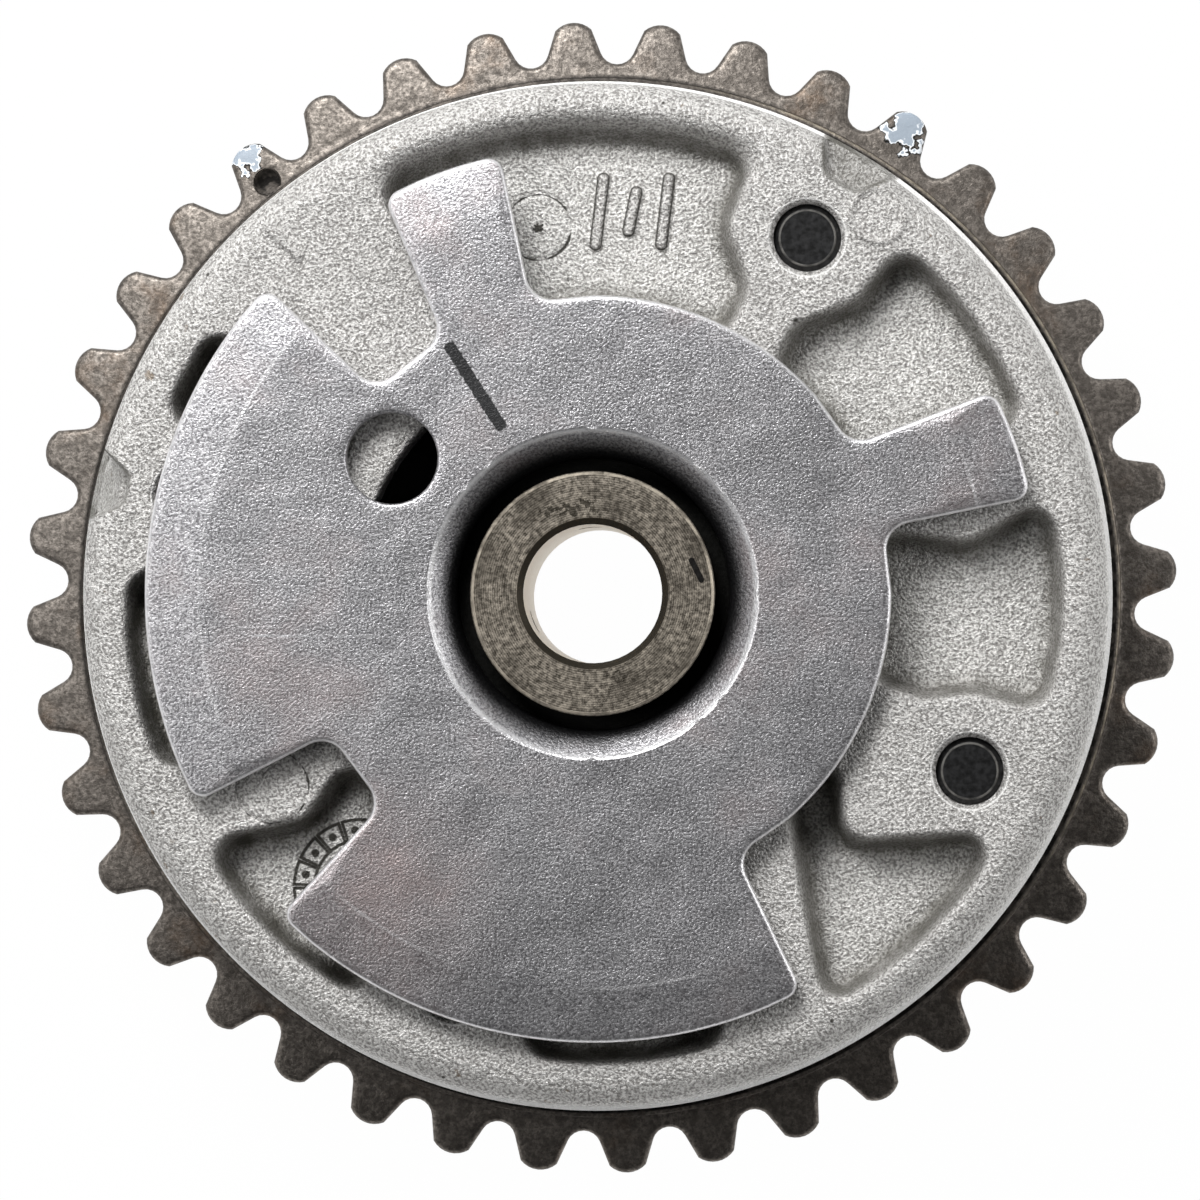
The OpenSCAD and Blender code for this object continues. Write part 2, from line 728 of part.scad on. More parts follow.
module lock_pin_cap() {
    color("silver")
        at_angle(lock_circle_r, lock_angle) ring(lock_guide_r, lock_vent_r, lock_cap_rear, rotor_front);
}

// Seal bars and leaf springs

// Seal bar whose inner face is at r and that reaches out by depth
module seal_bar(r, depth, a) {
    color([0.16, 0.16, 0.18])
        at_angle(r, a)
            translate([0, -seal_w / 2, rotor_rear + seal_play]) cube([depth, seal_w, seal_h]);
}

// Bowed strip between radius r and r + room, pressing towards bow: 1 outwards, -1 inwards
module leaf_spring(r, a, bow) {
    room = seal_spring_room - 2 * spring_play;
    span = seal_h - 2 * spring_end_gap;
    rise = room - seal_spring_t;
    arc_r = (span ^ 2 / 4 + rise ^ 2) / (2 * rise);
    crest = bow > 0 ? r + spring_play + room : r + spring_play;
    color("silver")
        at_angle(crest - bow * arc_r, a)
            translate([0, seal_w / 2, rotor_rear + seal_play + seal_h / 2])
                rotate([90, 0, 0])
                    linear_extrude(seal_w)
                        intersection() {
                            difference() {
                                circle(r = arc_r, $fn = 180);
                                circle(r = arc_r - seal_spring_t, $fn = 180);
                            }
                            translate([bow > 0 ? arc_r - room : -arc_r, -span / 2]) square([room, span]);
                        }
}

module vane_seal(i) {
    inner = vane_r - seal_slot_depth + seal_spring_room;
    seal_bar(inner, vane_r + seal_tip_gap - inner, middle(VANES[i]));
}

module vane_spring(i) {
    leaf_spring(vane_r - seal_slot_depth, middle(VANES[i]), 1);
}

module shoe_seal(i) {
    inner = rotor_hub_r + 2 * seal_tip_gap;
    seal_bar(inner, shoe_r + seal_slot_depth - seal_spring_room - inner, SCREWS[i]);
}

module shoe_spring(i) {
    leaf_spring(shoe_r + seal_slot_depth - seal_spring_room, SCREWS[i], -1);
}

// Trigger wheel

// Outline of the wheel, counter-clockwise
function wheel_outline() = rounded([
    for (i = [0:len(LOBES) - 1])
        let (turn = i == len(LOBES) - 1 ? 360 : 0)
        let (foot = [wheel_body_r, LOBES[i][0][0], lobe_fillet_r])
        let (lead = [wheel_r, LOBES[i][0][1], lobe_corner_r])
        let (trail = [wheel_r, LOBES[i][1][1], lobe_corner_r])
        let (heel = [wheel_body_r, LOBES[i][1][0], lobe_fillet_r])
        let (next = [wheel_body_r, after(LOBES, i)[0][0] + turn, lobe_fillet_r])
        each concat(
            [corner(foot), corner(lead)],
            arc_between(lead, trail, 4),
            [corner(trail), corner(heel)],
            arc_between(heel, next, 4)
        )
]);

// Section of the sheet: collar, bend, flat and the sloped edge
module wheel_section() {
    bend_x = collar_outer_r + collar_bend_r - wheel_t;
    bend_z = nose_front - collar_bend_r;
    edge = wheel_r + cut;
    drop = wheel_drop * (edge - wheel_crease_r) / (wheel_r - wheel_crease_r);
    translate([collar_r, rotor_front]) square([wheel_t, bend_z - rotor_front]);
    intersection() {
        difference() {
            translate([bend_x, bend_z]) circle(r = collar_bend_r);
            translate([bend_x, bend_z]) circle(r = collar_bend_r - wheel_t);
        }
        translate([collar_r, bend_z]) square([collar_bend_r, collar_bend_r]);
    }
    polygon([
        [bend_x, wheel_under], [wheel_crease_r, wheel_under], [edge, wheel_under - drop],
        [edge, nose_front - drop], [wheel_crease_r, nose_front], [bend_x, nose_front],
    ]);
}

module trigger_wheel() {
    color([0.66, 0.65, 0.67])
        difference() {
            intersection() {
                rotate_extrude() wheel_section();
                translate([0, 0, rotor_front - cut])
                    linear_extrude(nose_front - rotor_front + 2 * cut) polygon(wheel_outline());
            }
            at_angle(gauge_circle_r, gauge_angle) bore(gauge_hole_r, wheel_under - cut, nose_front + cut);
        }
}

sprocket();
housing();
housing_screws();
locating_pin();
face_seal();
lock_pin_seat();
rotor();
trigger_wheel();
lock_pin();
lock_pin_spring();
lock_pin_cap();
for (i = [0:screw_count - 1]) {
    vane_seal(i);
    vane_spring(i);
    shoe_seal(i);
    shoe_spring(i);
}
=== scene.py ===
"""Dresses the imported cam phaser: cast housing, chain sprocket, pressed trigger wheel and every finish."""

import logging
import math
from dataclasses import dataclass, field
from enum import Enum
from typing import Any, Callable, Optional, Sequence

import bpy
import numpy as np
from mathutils import Matrix, Vector
from mathutils.geometry import delaunay_2d_cdt


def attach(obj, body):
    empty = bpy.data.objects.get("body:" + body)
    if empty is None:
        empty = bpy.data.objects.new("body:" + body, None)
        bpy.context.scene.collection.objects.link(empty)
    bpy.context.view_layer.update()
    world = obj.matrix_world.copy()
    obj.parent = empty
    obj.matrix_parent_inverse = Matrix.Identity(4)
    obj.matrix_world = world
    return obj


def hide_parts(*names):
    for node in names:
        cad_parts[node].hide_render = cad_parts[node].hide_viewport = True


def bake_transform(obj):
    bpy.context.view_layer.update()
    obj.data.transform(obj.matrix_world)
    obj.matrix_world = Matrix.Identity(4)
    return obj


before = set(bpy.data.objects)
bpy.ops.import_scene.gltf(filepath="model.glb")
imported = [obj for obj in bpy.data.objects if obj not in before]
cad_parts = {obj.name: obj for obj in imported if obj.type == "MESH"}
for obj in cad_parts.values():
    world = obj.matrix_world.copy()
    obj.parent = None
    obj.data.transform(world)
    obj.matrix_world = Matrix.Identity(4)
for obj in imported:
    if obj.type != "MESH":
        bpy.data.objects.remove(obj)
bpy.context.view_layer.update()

log = logging.getLogger("cam_phaser")

MM = 0.001
Points = np.ndarray
Corner = tuple[float, float, float]
Colour = tuple[float, float, float]
Spot = tuple[float, float]

# Height of a row of a triangular grid, as a share of its step
GRID_ROW = 0.866
# Depth of points far outside an outline, and how far round it depth is measured, in millimetres
FAR_OUTSIDE = -9.0
MEASURED_ROUND = 4.0
# Room that the arc between two fillets leaves at each end, in fillet radii
FILLET_ROOM = 2.4
# Distance that counts as touching, in millimetres
TOUCH = 0.01
# Step of the arcs in the outlines of pockets and lobes, in degrees
POCKET_STEP = 2.5
LOBE_STEP = 1.2


class Body(Enum):
    """CAD bodies that a piece can ride on."""

    STATOR = "stator"
    ROTOR = "rotor"
    LOCK_PIN = "lock_pin"


class Slot(Enum):
    """Material slots of the record that new pieces take."""

    SINTERED = "sintered_steel"
    CAST = "cast_aluminium"
    PRESSED = "pressed_steel"
    SPRING = "spring_steel"


# Outlines, in millimetres


def polar(radius: Any, degrees: Any) -> Points:
    """Points at a radius and an angle."""
    turn = np.radians(degrees)
    return np.stack([radius * np.cos(turn), radius * np.sin(turn)], axis=-1)


def circle(radius: float, count: int, centre: Sequence[float] = (0.0, 0.0)) -> Points:
    """Closed counter-clockwise ring of points."""
    return polar(radius, np.arange(count) * 360.0 / count) + np.asarray(centre)


def fillet(a: Points, p: Points, b: Points, radius: float, steps: int) -> Points:
    """Rounds one corner of an outline.

    Args:
        a: Corner before the rounded one.
        p: Corner to round.
        b: Corner after it.
        radius: Fillet radius; 0 keeps the corner.
        steps: Segments of the arc.

    Returns:
        Points of the arc, or the corner itself.
    """
    if radius == 0:
        return p[None, :]
    u, v = (a - p) / np.linalg.norm(a - p), (b - p) / np.linalg.norm(b - p)
    half = math.acos(float(np.clip(u @ v, -1, 1))) / 2
    middle = (u + v) / np.linalg.norm(u + v)
    centre = p + middle * radius / math.sin(half)
    start = p + u * radius / math.tan(half) - centre
    first = math.degrees(math.atan2(start[1], start[0]))
    cross = u[0] * v[1] - u[1] * v[0]
    sweep = (180 - 2 * math.degrees(half)) * (1 if cross < 0 else -1)
    return centre + polar(radius, first + sweep * np.arange(steps + 1) / steps)


def rounded(corners: Sequence[Corner], steps: int = 8) -> Points:
    """Closed outline through corners given as radius, angle and fillet radius.

    Args:
        corners: Corners, counter-clockwise.
        steps: Segments of each fillet.

    Returns:
        Points of the outline.
    """
    spots = [polar(c[0], c[1]) for c in corners]
    n = len(corners)
    return np.concatenate([
        fillet(spots[i - 1], spots[i], spots[(i + 1) % n], corners[i][2], steps) for i in range(n)
    ])


def arc_between(start: Corner, end: Corner, step: float) -> list[Corner]:
    """Plain corners along the arc between two filleted corners, clear of their fillets.

    Args:
        start: Corner that the arc leaves.
        end: Corner that it reaches.
        step: Angle between two points, in degrees.

    Returns:
        Corners of the arc; none where the two lie on different circles or leave no room.
    """
    span = end[1] - start[1]
    margin = math.copysign(math.degrees(max(start[2], end[2]) * FILLET_ROOM / start[0]), span)
    rest = span - 2 * margin
    if abs(start[0] - end[0]) > 0.001 or rest * span <= 0:
        return []
    count = max(1, round(abs(rest) / step))
    return [(start[0], start[1] + margin + rest * i / count, 0.0) for i in range(count + 1)]


def inset(outline: Points, distance: float) -> Points:
    """Outline moved inwards along its own normals.

    Args:
        outline: Points of the outline, counter-clockwise.
        distance: How far it moves, in millimetres.

    Returns:
        Points of the moved outline.
    """
    e = outline - np.roll(outline, 1, axis=0)
    f = np.roll(outline, -1, axis=0) - outline
    e, f = e / length_of(e)[:, None], f / length_of(f)[:, None]
    normal = np.stack([-e[:, 1] - f[:, 1], e[:, 0] + f[:, 0]], axis=1)
    normal /= length_of(normal)[:, None]
    lean = normal[:, 0] * -e[:, 1] + normal[:, 1] * e[:, 0]
    return outline + normal * (distance / lean)[:, None]


def path_distance(points: Points, path: Points, closed: bool) -> np.ndarray:
    """Distance from each point to a path.

    Args:
        points: Points to measure.
        path: Corners of the path; a single corner is a dot.
        closed: Whether the path runs back to its start.

    Returns:
        Distances in millimetres.
    """
    if len(path) == 1:
        return length_of(points - path[0])
    nearest = np.full(len(points), np.inf)
    ends = np.roll(path, -1, axis=0) if closed else path[1:]
    for a, b in zip(path, ends):
        ab, ap = b - a, points - a
        t = np.clip(ap @ ab / (ab @ ab), 0, 1)
        nearest = np.minimum(nearest, ((ap - t[:, None] * ab) ** 2).sum(1))
    return np.sqrt(nearest)


def is_inside(points: Points, outline: Points) -> np.ndarray:
    """Whether each point lies inside an outline.

    Args:
        points: Points to test.
        outline: Points of the outline.

    Returns:
        True for each point inside.
    """
    inside = np.zeros(len(points), bool)
    for a, b in zip(outline, np.roll(outline, -1, axis=0)):
        if a[1] != b[1]:
            crosses = (a[1] > points[:, 1]) != (b[1] > points[:, 1])
            at = a[0] + (points[:, 1] - a[1]) * (b[0] - a[0]) / (b[1] - a[1])
            inside ^= crosses & (points[:, 0] < at)
    return inside


def depth_inside(points: Points, outline: Points) -> np.ndarray:
    """Distance from each point to an outline, positive inside it.

    Args:
        points: Points to measure.
        outline: Points of the outline.

    Returns:
        Distances in millimetres; far points all get the same one.
    """
    depth = np.full(len(points), FAR_OUTSIDE)
    low, high = outline.min(0) - MEASURED_ROUND, outline.max(0) + MEASURED_ROUND
    near = np.flatnonzero(((points > low) & (points < high)).all(1))
    if len(near):
        spots = points[near]
        sign = np.where(is_inside(spots, outline), 1.0, -1.0)
        depth[near] = sign * path_distance(spots, outline, True)
    return depth


def hex_grid(reach: float, step: float) -> Points:
    """Points of a triangular grid over a square.

    Args:
        reach: Half the width of the square.
        step: Distance between neighbours.

    Returns:
        Points of the grid.
    """
    rows = np.arange(-int(reach / (step * GRID_ROW)) - 1, int(reach / (step * GRID_ROW)) + 2)
    columns = np.arange(-int(reach / step) - 1, int(reach / step) + 2)
    x, y = np.meshgrid(columns * step, rows * step * GRID_ROW)
    x = x + (np.arange(len(rows)) % 2)[:, None] * step / 2
    return np.stack([x.ravel(), y.ravel()], axis=1)


def ease(low: float, high: float, value: np.ndarray) -> np.ndarray:
    """Smooth rise from 0 at low to 1 at high."""
    t = np.clip((value - low) / (high - low), 0, 1)
    return t * t * (3 - 2 * t)


def length_of(points: np.ndarray) -> np.ndarray:
    """Distance of each point from the origin."""
    return np.linalg.norm(points, axis=-1)


def edge_round(radius: float, turns: Sequence[float]) -> list[tuple[float, float]]:
    """Depth and drop of a rounded edge at each angle of its turn.

    Args:
        radius: Radius of the edge.
        turns: Angles in degrees, from the wall's 0 to the face's 90.

    Returns:
        Distance in from the wall and down from the face, for each angle.
    """
    found = []
    for turn in turns:
        angle = math.radians(turn)
        found.append((radius * (1 - math.cos(angle)), radius * (1 - math.sin(angle))))
    return found


# Places that the meshes and the finishes share


@dataclass(frozen=True)
class ScrewCircle:
    """Circle of the four housing screws."""

    radius: float = 36.58
    angles: tuple[float, ...] = (166.4, 250.6, -25.2, 59.0)

    def spots(self) -> list[Points]:
        """Plan points of the screws."""
        return [polar(self.radius, angle) for angle in self.angles]


@dataclass(frozen=True)
class EjectorMark:
    """Round mark that an ejector leaves in a casting."""

    radius: float
    angle: float
    ring_r: float

    def middle(self) -> Points:
        """Plan point of its middle."""
        return polar(self.radius, self.angle)


UPPER_EJECTOR = EjectorMark(32.9, 98.7, 2.9)
LOWER_EJECTOR = EjectorMark(33.0, 211.0, 3.2)


# Meshes


class MeshDraft:
    """Points and faces gathered in millimetres until they become one object."""

    def __init__(self) -> None:
        """Starts with nothing."""
        self.points: list[np.ndarray] = []
        self.faces: list[tuple[int, ...]] = []
        self.count = 0

    def add(self, points: Points) -> np.ndarray:
        """Adds points.

        Args:
            points: Points in millimetres.

        Returns:
            Their indexes.
        """
        self.points.append(np.asarray(points, float))
        self.count += len(points)
        return np.arange(self.count - len(points), self.count)

    def loop(self, plan: Points, height: Any) -> np.ndarray:
        """Adds a plan loop at a height, one number or one for each point, and returns its indexes."""
        return self.add(np.column_stack([plan, np.broadcast_to(height, len(plan))]))

    def strip(self, low: np.ndarray, high: np.ndarray) -> None:
        """Joins two loops of equal length; the faces look outwards from a counter-clockwise pair."""
        a, b = np.roll(low, -1), np.roll(high, -1)
        self.faces.extend(zip(low.tolist(), a.tolist(), b.tolist(), high.tolist()))

    def walls(self, loops: Sequence[np.ndarray]) -> None:
        """Joins each loop to the next."""
        for low, high in zip(loops, loops[1:]):
            self.strip(low, high)

    def sheet(
        self,
        loose: Points,
        loops: Sequence[Points],
        keep: Callable[[Points], np.ndarray],
        lift: Callable[[Points], Points],
        up: bool = True,
    ) -> list[np.ndarray]:
        """Fills a plan with triangles that follow its loops.

        Args:
            loose: Plan points that the surface needs inside its loops.
            loops: Closed plan loops that become edges of the surface.
            keep: Tells from the middles of the triangles which ones stay.
            lift: Gives each plan point its place in space.
            up: Whether the surface looks up.

        Returns:
            Indexes of the points of each loop.
        """
        plan = np.concatenate([*loops, loose])
        edges, first = [], 0
        for points in loops:
            n = len(points)
            edges += [(first + i, first + (i + 1) % n) for i in range(n)]
            first += n
        made = delaunay_2d_cdt([Vector(p) for p in plan.tolist()], edges, [], 0, 1e-6)
        spots = np.array([tuple(v) for v in made[0]])
        triangles = np.array(made[2])
        triangles = triangles[keep(spots[triangles].mean(1))]
        index = self.add(lift(spots))
        if not up:
            triangles = triangles[:, ::-1]
        self.faces.extend(map(tuple, index[triangles].tolist()))
        place = {source: i for i, sources in enumerate(made[3]) for source in sources}
        found, first = [], 0
        for points in loops:
            found.append(index[[place[first + i] for i in range(len(points))]])
            first += len(points)
        return found

    def copy_node(self, node: str, keep: Callable[[np.ndarray], np.ndarray]) -> None:
        """Takes over triangles of a CAD node.

        Args:
            node: Name of the node.
            keep: Tells from the corners, as triangle by corner by axis in millimetres, which ones stay.
        """
        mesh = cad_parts[node].data
        mesh.calc_loop_triangles()
        spots = np.empty(len(mesh.vertices) * 3, np.float32)
        mesh.vertices.foreach_get("co", spots)
        corners = np.empty(len(mesh.loop_triangles) * 3, np.int32)
        mesh.loop_triangles.foreach_get("vertices", corners)
        spots = np.round(spots.reshape(-1, 3).astype(float) / MM, 4)
        spots, welded = np.unique(spots, axis=0, return_inverse=True)
        triangles = welded.reshape(-1)[corners].reshape(-1, 3)
        triangles = triangles[keep(spots[triangles])]
        used, triangles = np.unique(triangles, return_inverse=True)
        index = self.add(spots[used])
        self.faces.extend(map(tuple, index[triangles.reshape(-1, 3)].tolist()))

    def build(
        self, name: str, crease: float, tone: Optional[Callable[[Points], np.ndarray]] = None
    ) -> bpy.types.Object:
        """Makes the object.

        Args:
            name: Name of the piece.
            crease: Angle in degrees above which an edge stays sharp.
            tone: Tells, for the finish to read, the share that each point carries: soiling and painted shade
                on the casting, painted highlight on the wheel's edges.

        Returns:
            The new object, in metres.
        """
        mesh = bpy.data.meshes.new(name)
        spots = np.concatenate(self.points)
        mesh.from_pydata((spots * MM).tolist(), [], self.faces)
        if tone is not None:
            mesh.attributes.new("tone", "FLOAT", "POINT").data.foreach_set("value", tone(spots))
        mesh.polygons.foreach_set("use_smooth", [True] * len(mesh.polygons))
        mesh.set_sharp_from_angle(angle=math.radians(crease))
        mesh.validate()
        piece = bpy.data.objects.new(name, mesh)
        bpy.context.scene.collection.objects.link(piece)
        log.info("%s: %d triangles", name, sum(len(f) - 2 for f in self.faces))
        return piece


# Finishes


class Wiring:
    """Adds and links the nodes of one tree."""

    def __init__(self, tree: bpy.types.NodeTree) -> None:
        """Starts with an empty tree."""
        self.tree = tree
        tree.nodes.clear()

    def node(self, kind: str, settings: Optional[dict[str, Any]] = None, **inputs: Any) -> bpy.types.Node:
        """Adds a node.

        Args:
            kind: Blender's name of the node type.
            settings: Properties of the node.
            **inputs: Values or sockets for its inputs, with _ for a space.

        Returns:
            The node.
        """
        made = self.tree.nodes.new(kind)
        for key, value in (settings or {}).items():
            setattr(made, key, value)
        for key, value in inputs.items():
            self.feed(made.inputs[key.replace("_", " ")], value)
        return made

    def feed(self, socket: bpy.types.NodeSocket, value: Any) -> None:
        """Links a socket or sets its value.

        Args:
            socket: Input to feed.
            value: Socket to link, or a value; a colour gets its alpha.
        """
        if isinstance(value, bpy.types.NodeSocket):
            self.tree.links.new(value, socket)
        elif socket.type == "RGBA":
            socket.default_value = (*value, 1.0)
        else:
            socket.default_value = value

    def math(self, operation: str, a: Any, b: Any = 0.0) -> bpy.types.NodeSocket:
        """Arithmetic on numbers.

        Args:
            operation: Blender's name of the operation.
            a: First number or socket.
            b: Second number or socket.

        Returns:
            Socket with the result.
        """
        made = self.node("ShaderNodeMath", {"operation": operation})
        self.feed(made.inputs[0], a)
        self.feed(made.inputs[1], b)
        return made.outputs[0]

    def times(self, *numbers: Any) -> bpy.types.NodeSocket:
        """Product of numbers.

        Args:
            *numbers: Numbers or sockets.

        Returns:
            Socket with the product.
        """
        product = numbers[0]
        for other in numbers[1:]:
            product = self.math("MULTIPLY", product, other)
        return product

    def plus(self, a: Any, b: Any) -> bpy.types.NodeSocket:
        """Sum of two numbers."""
        return self.math("ADD", a, b)

    def minus(self, a: Any, b: Any) -> bpy.types.NodeSocket:
        """First number less the second."""
        return self.math("SUBTRACT", a, b)

    def apart(self, a: Any, b: Any) -> bpy.types.NodeSocket:
        """Size of the difference of two numbers."""
        return self.math("ABSOLUTE", self.minus(a, b))

    def most(self, a: Any, b: Any) -> bpy.types.NodeSocket:
        """Larger of two numbers."""
        return self.math("MAXIMUM", a, b)

    def vector(self, operation: str, a: Any, b: Any = (0, 0, 0), scale: float = 1.0) -> bpy.types.NodeSocket:
        """Arithmetic on vectors.

        Args:
            operation: Blender's name of the operation.
            a: First vector or socket.
            b: Second vector or socket.
            scale: Factor, where the operation scales.

        Returns:
            Socket with the vector, or with the number where the operation gives one.
        """
        made = self.node("ShaderNodeVectorMath", {"operation": operation})
        self.feed(made.inputs[0], a)
        self.feed(made.inputs[1], b)
        if operation == "SCALE":
            made.inputs["Scale"].default_value = scale
        return made.outputs["Value" if operation in ("LENGTH", "DOT_PRODUCT", "DISTANCE") else "Vector"]

    def rise(
        self, value: Any, low: float, high: float, bottom: float = 0.0, top: float = 1.0
    ) -> bpy.types.NodeSocket:
        """Smooth rise from bottom to top while the value goes from low to high.

        Args:
            value: Number or socket.
            low: Value where the rise starts.
            high: Value where it ends.
            bottom: Result at low.
            top: Result at high.

        Returns:
            Socket with the result.
        """
        made = self.node(
            "ShaderNodeMapRange", {"interpolation_type": "SMOOTHSTEP"},
            Value=value, From_Min=low, From_Max=high, To_Min=bottom, To_Max=top,
        )
        return made.outputs[0]

    def nearest(self, *distances: bpy.types.NodeSocket) -> bpy.types.NodeSocket:
        """Smallest of several distances.

        Args:
            *distances: Sockets with the distances.

        Returns:
            Socket with the smallest.
        """
        least = distances[0]
        for other in distances[1:]:
            least = self.math("MINIMUM", least, other)
        return least


class Graph(Wiring):
    """Wires one material of the part; lengths are in millimetres."""

    def __init__(self, name: str) -> None:
        """Starts a material with one main shader.

        Args:
            name: Name of the material.
        """
        self.material = bpy.data.materials.new(name)
        self.material.use_nodes = True
        super().__init__(self.material.node_tree)
        self.shader = self.node("ShaderNodeBsdfPrincipled")
        self.node("ShaderNodeOutputMaterial", Surface=self.shader.outputs[0])
        spot = self.node("ShaderNodeTexCoord").outputs["Object"]
        self.spot = self.vector("SCALE", spot, scale=1 / MM)

    def set(self, **inputs: Any) -> None:
        """Sets inputs of the main shader."""
        for key, value in inputs.items():
            self.feed(self.shader.inputs[key.replace("_", " ")], value)

    def noise(self, scale: float, detail: float = 3.0, rough: float = 0.55) -> bpy.types.NodeSocket:
        """Soft noise; the scale is in waves for each millimetre."""
        made = self.node("ShaderNodeTexNoise", Vector=self.spot, Scale=scale, Detail=detail, Roughness=rough)
        return made.outputs["Fac"]

    def mix(self, share: Any, a: Any, b: Any) -> bpy.types.NodeSocket:
        """Colour between two colours.

        Args:
            share: Share of the second colour.
            a: First colour or socket.
            b: Second colour or socket.

        Returns:
            Socket with the colour.
        """
        made = self.node("ShaderNodeMix", {"data_type": "RGBA"})
        self.feed(made.inputs[0], share)
        self.feed(made.inputs[6], a)
        self.feed(made.inputs[7], b)
        return made.outputs[2]

    def bump(self, height: Any, depth: float, under: Any = None) -> bpy.types.NodeSocket:
        """Normal of a fine relief.

        Args:
            height: Socket with the height, from 0 to 1.
            depth: Depth of the relief in millimetres.
            under: Normal of a coarser relief below it.

        Returns:
            Socket with the normal.
        """
        made = self.node("ShaderNodeBump", Height=height, Distance=depth * MM, Strength=1.0)
        if under is not None:
            self.feed(made.inputs["Normal"], under)
        return made.outputs["Normal"]

    def radius(self) -> bpy.types.NodeSocket:
        """Distance from the camshaft axis, in millimetres."""
        return self.vector("LENGTH", self.vector("MULTIPLY", self.spot, (1, 1, 0)))

    def aside(self, centre: Points) -> bpy.types.NodeSocket:
        """Distance in plan from a point, in millimetres."""
        away = self.vector("SUBTRACT", self.spot, (*centre, 0.0))
        return self.vector("LENGTH", self.vector("MULTIPLY", away, (1, 1, 0)))

    def height(self) -> bpy.types.NodeSocket:
        """Height above the rear face, in millimetres."""
        return self.node("ShaderNodeSeparateXYZ", Vector=self.spot).outputs["Z"]

    def ring(self, centre: Points, radius: float, level: float) -> bpy.types.NodeSocket:
        """Distance from a drawn circle, in millimetres."""
        away = self.vector("DISTANCE", self.spot, (*centre, level))
        return self.apart(away, radius)

    def tone(self) -> bpy.types.NodeSocket:
        """Share that the mesh carries: soiling and painted shade on the casting, painted highlight on the
        wheel's edges.
        """
        return self.node("ShaderNodeAttribute", {"attribute_name": "tone"}).outputs["Fac"]

    def stroke(self, start: Points, end: Points, level: float) -> bpy.types.NodeSocket:
        """Distance from a drawn line, in millimetres.

        Args:
            start: Plan point where the line starts.
            end: Plan point where it ends.
            level: Height of the line.

        Returns:
            Socket with the distance.
        """
        run = np.append(end - start, 0.0)
        away = self.vector("SUBTRACT", self.spot, (*start, level))
        along = self.math("DIVIDE", self.vector("DOT_PRODUCT", away, tuple(run)), float(run @ run))
        held = self.node("ShaderNodeClamp", Value=along).outputs[0]
        foot = self.node("ShaderNodeVectorMath", {"operation": "SCALE"}, Scale=held)
        foot.inputs[0].default_value = tuple(run)
        return self.vector("DISTANCE", away, foot.outputs["Vector"])


def index_bars() -> list[tuple[Points, Points, float]]:
    """Start, end and width of the plain raised bars in the wide pocket."""
    plan = ((0.1, 0.0), (3.0, 1.2), (5.9, 0.0))
    return [(np.array([0.7 + x, 36.8 - trim]), np.array([x, 31.0 + trim]), 1.0) for x, trim in plan]


@dataclass(frozen=True)
class Dial:
    """Dial of the casting: a ring of cells, each with one dot."""

    centre: tuple[float, float] = (33.1, 231.3)
    inner: float = 4.1
    outer: float = 5.9
    pitch: float = 24.0
    half_cell: float = 10.4
    dot_r: float = 0.22

    def lines(self, g: Graph, level: float) -> bpy.types.NodeSocket:
        """Distance from the nearest line of the dial.

        Args:
            g: Material that the dial is drawn in.
            level: Height of the face that carries it.

        Returns:
            Socket with the distance in millimetres.
        """
        middle = polar(*self.centre)
        away = g.vector("SUBTRACT", g.spot, (*middle, level))
        split = g.node("ShaderNodeSeparateXYZ", Vector=away)
        turn = g.math("DEGREES", g.math("ARCTAN2", split.outputs["Y"], split.outputs["X"]))
        cell = g.math("PINGPONG", g.plus(turn, 360.0), self.pitch / 2)
        radius = g.vector("LENGTH", away)
        across = g.times(radius, g.math("RADIANS", g.minus(cell, self.half_cell)))
        middle_r = (self.inner + self.outer) / 2
        outside = g.apart(radius, middle_r)
        frame_line = g.minus(outside, (self.outer - self.inner) / 2)
        outline = g.math("ABSOLUTE", g.most(frame_line, across))
        along = g.times(radius, g.math("RADIANS", cell))
        dot = g.math("SQRT", g.plus(g.math("POWER", along, 2.0), g.math("POWER", outside, 2.0)))
        return g.nearest(outline, g.minus(dot, self.dot_r))


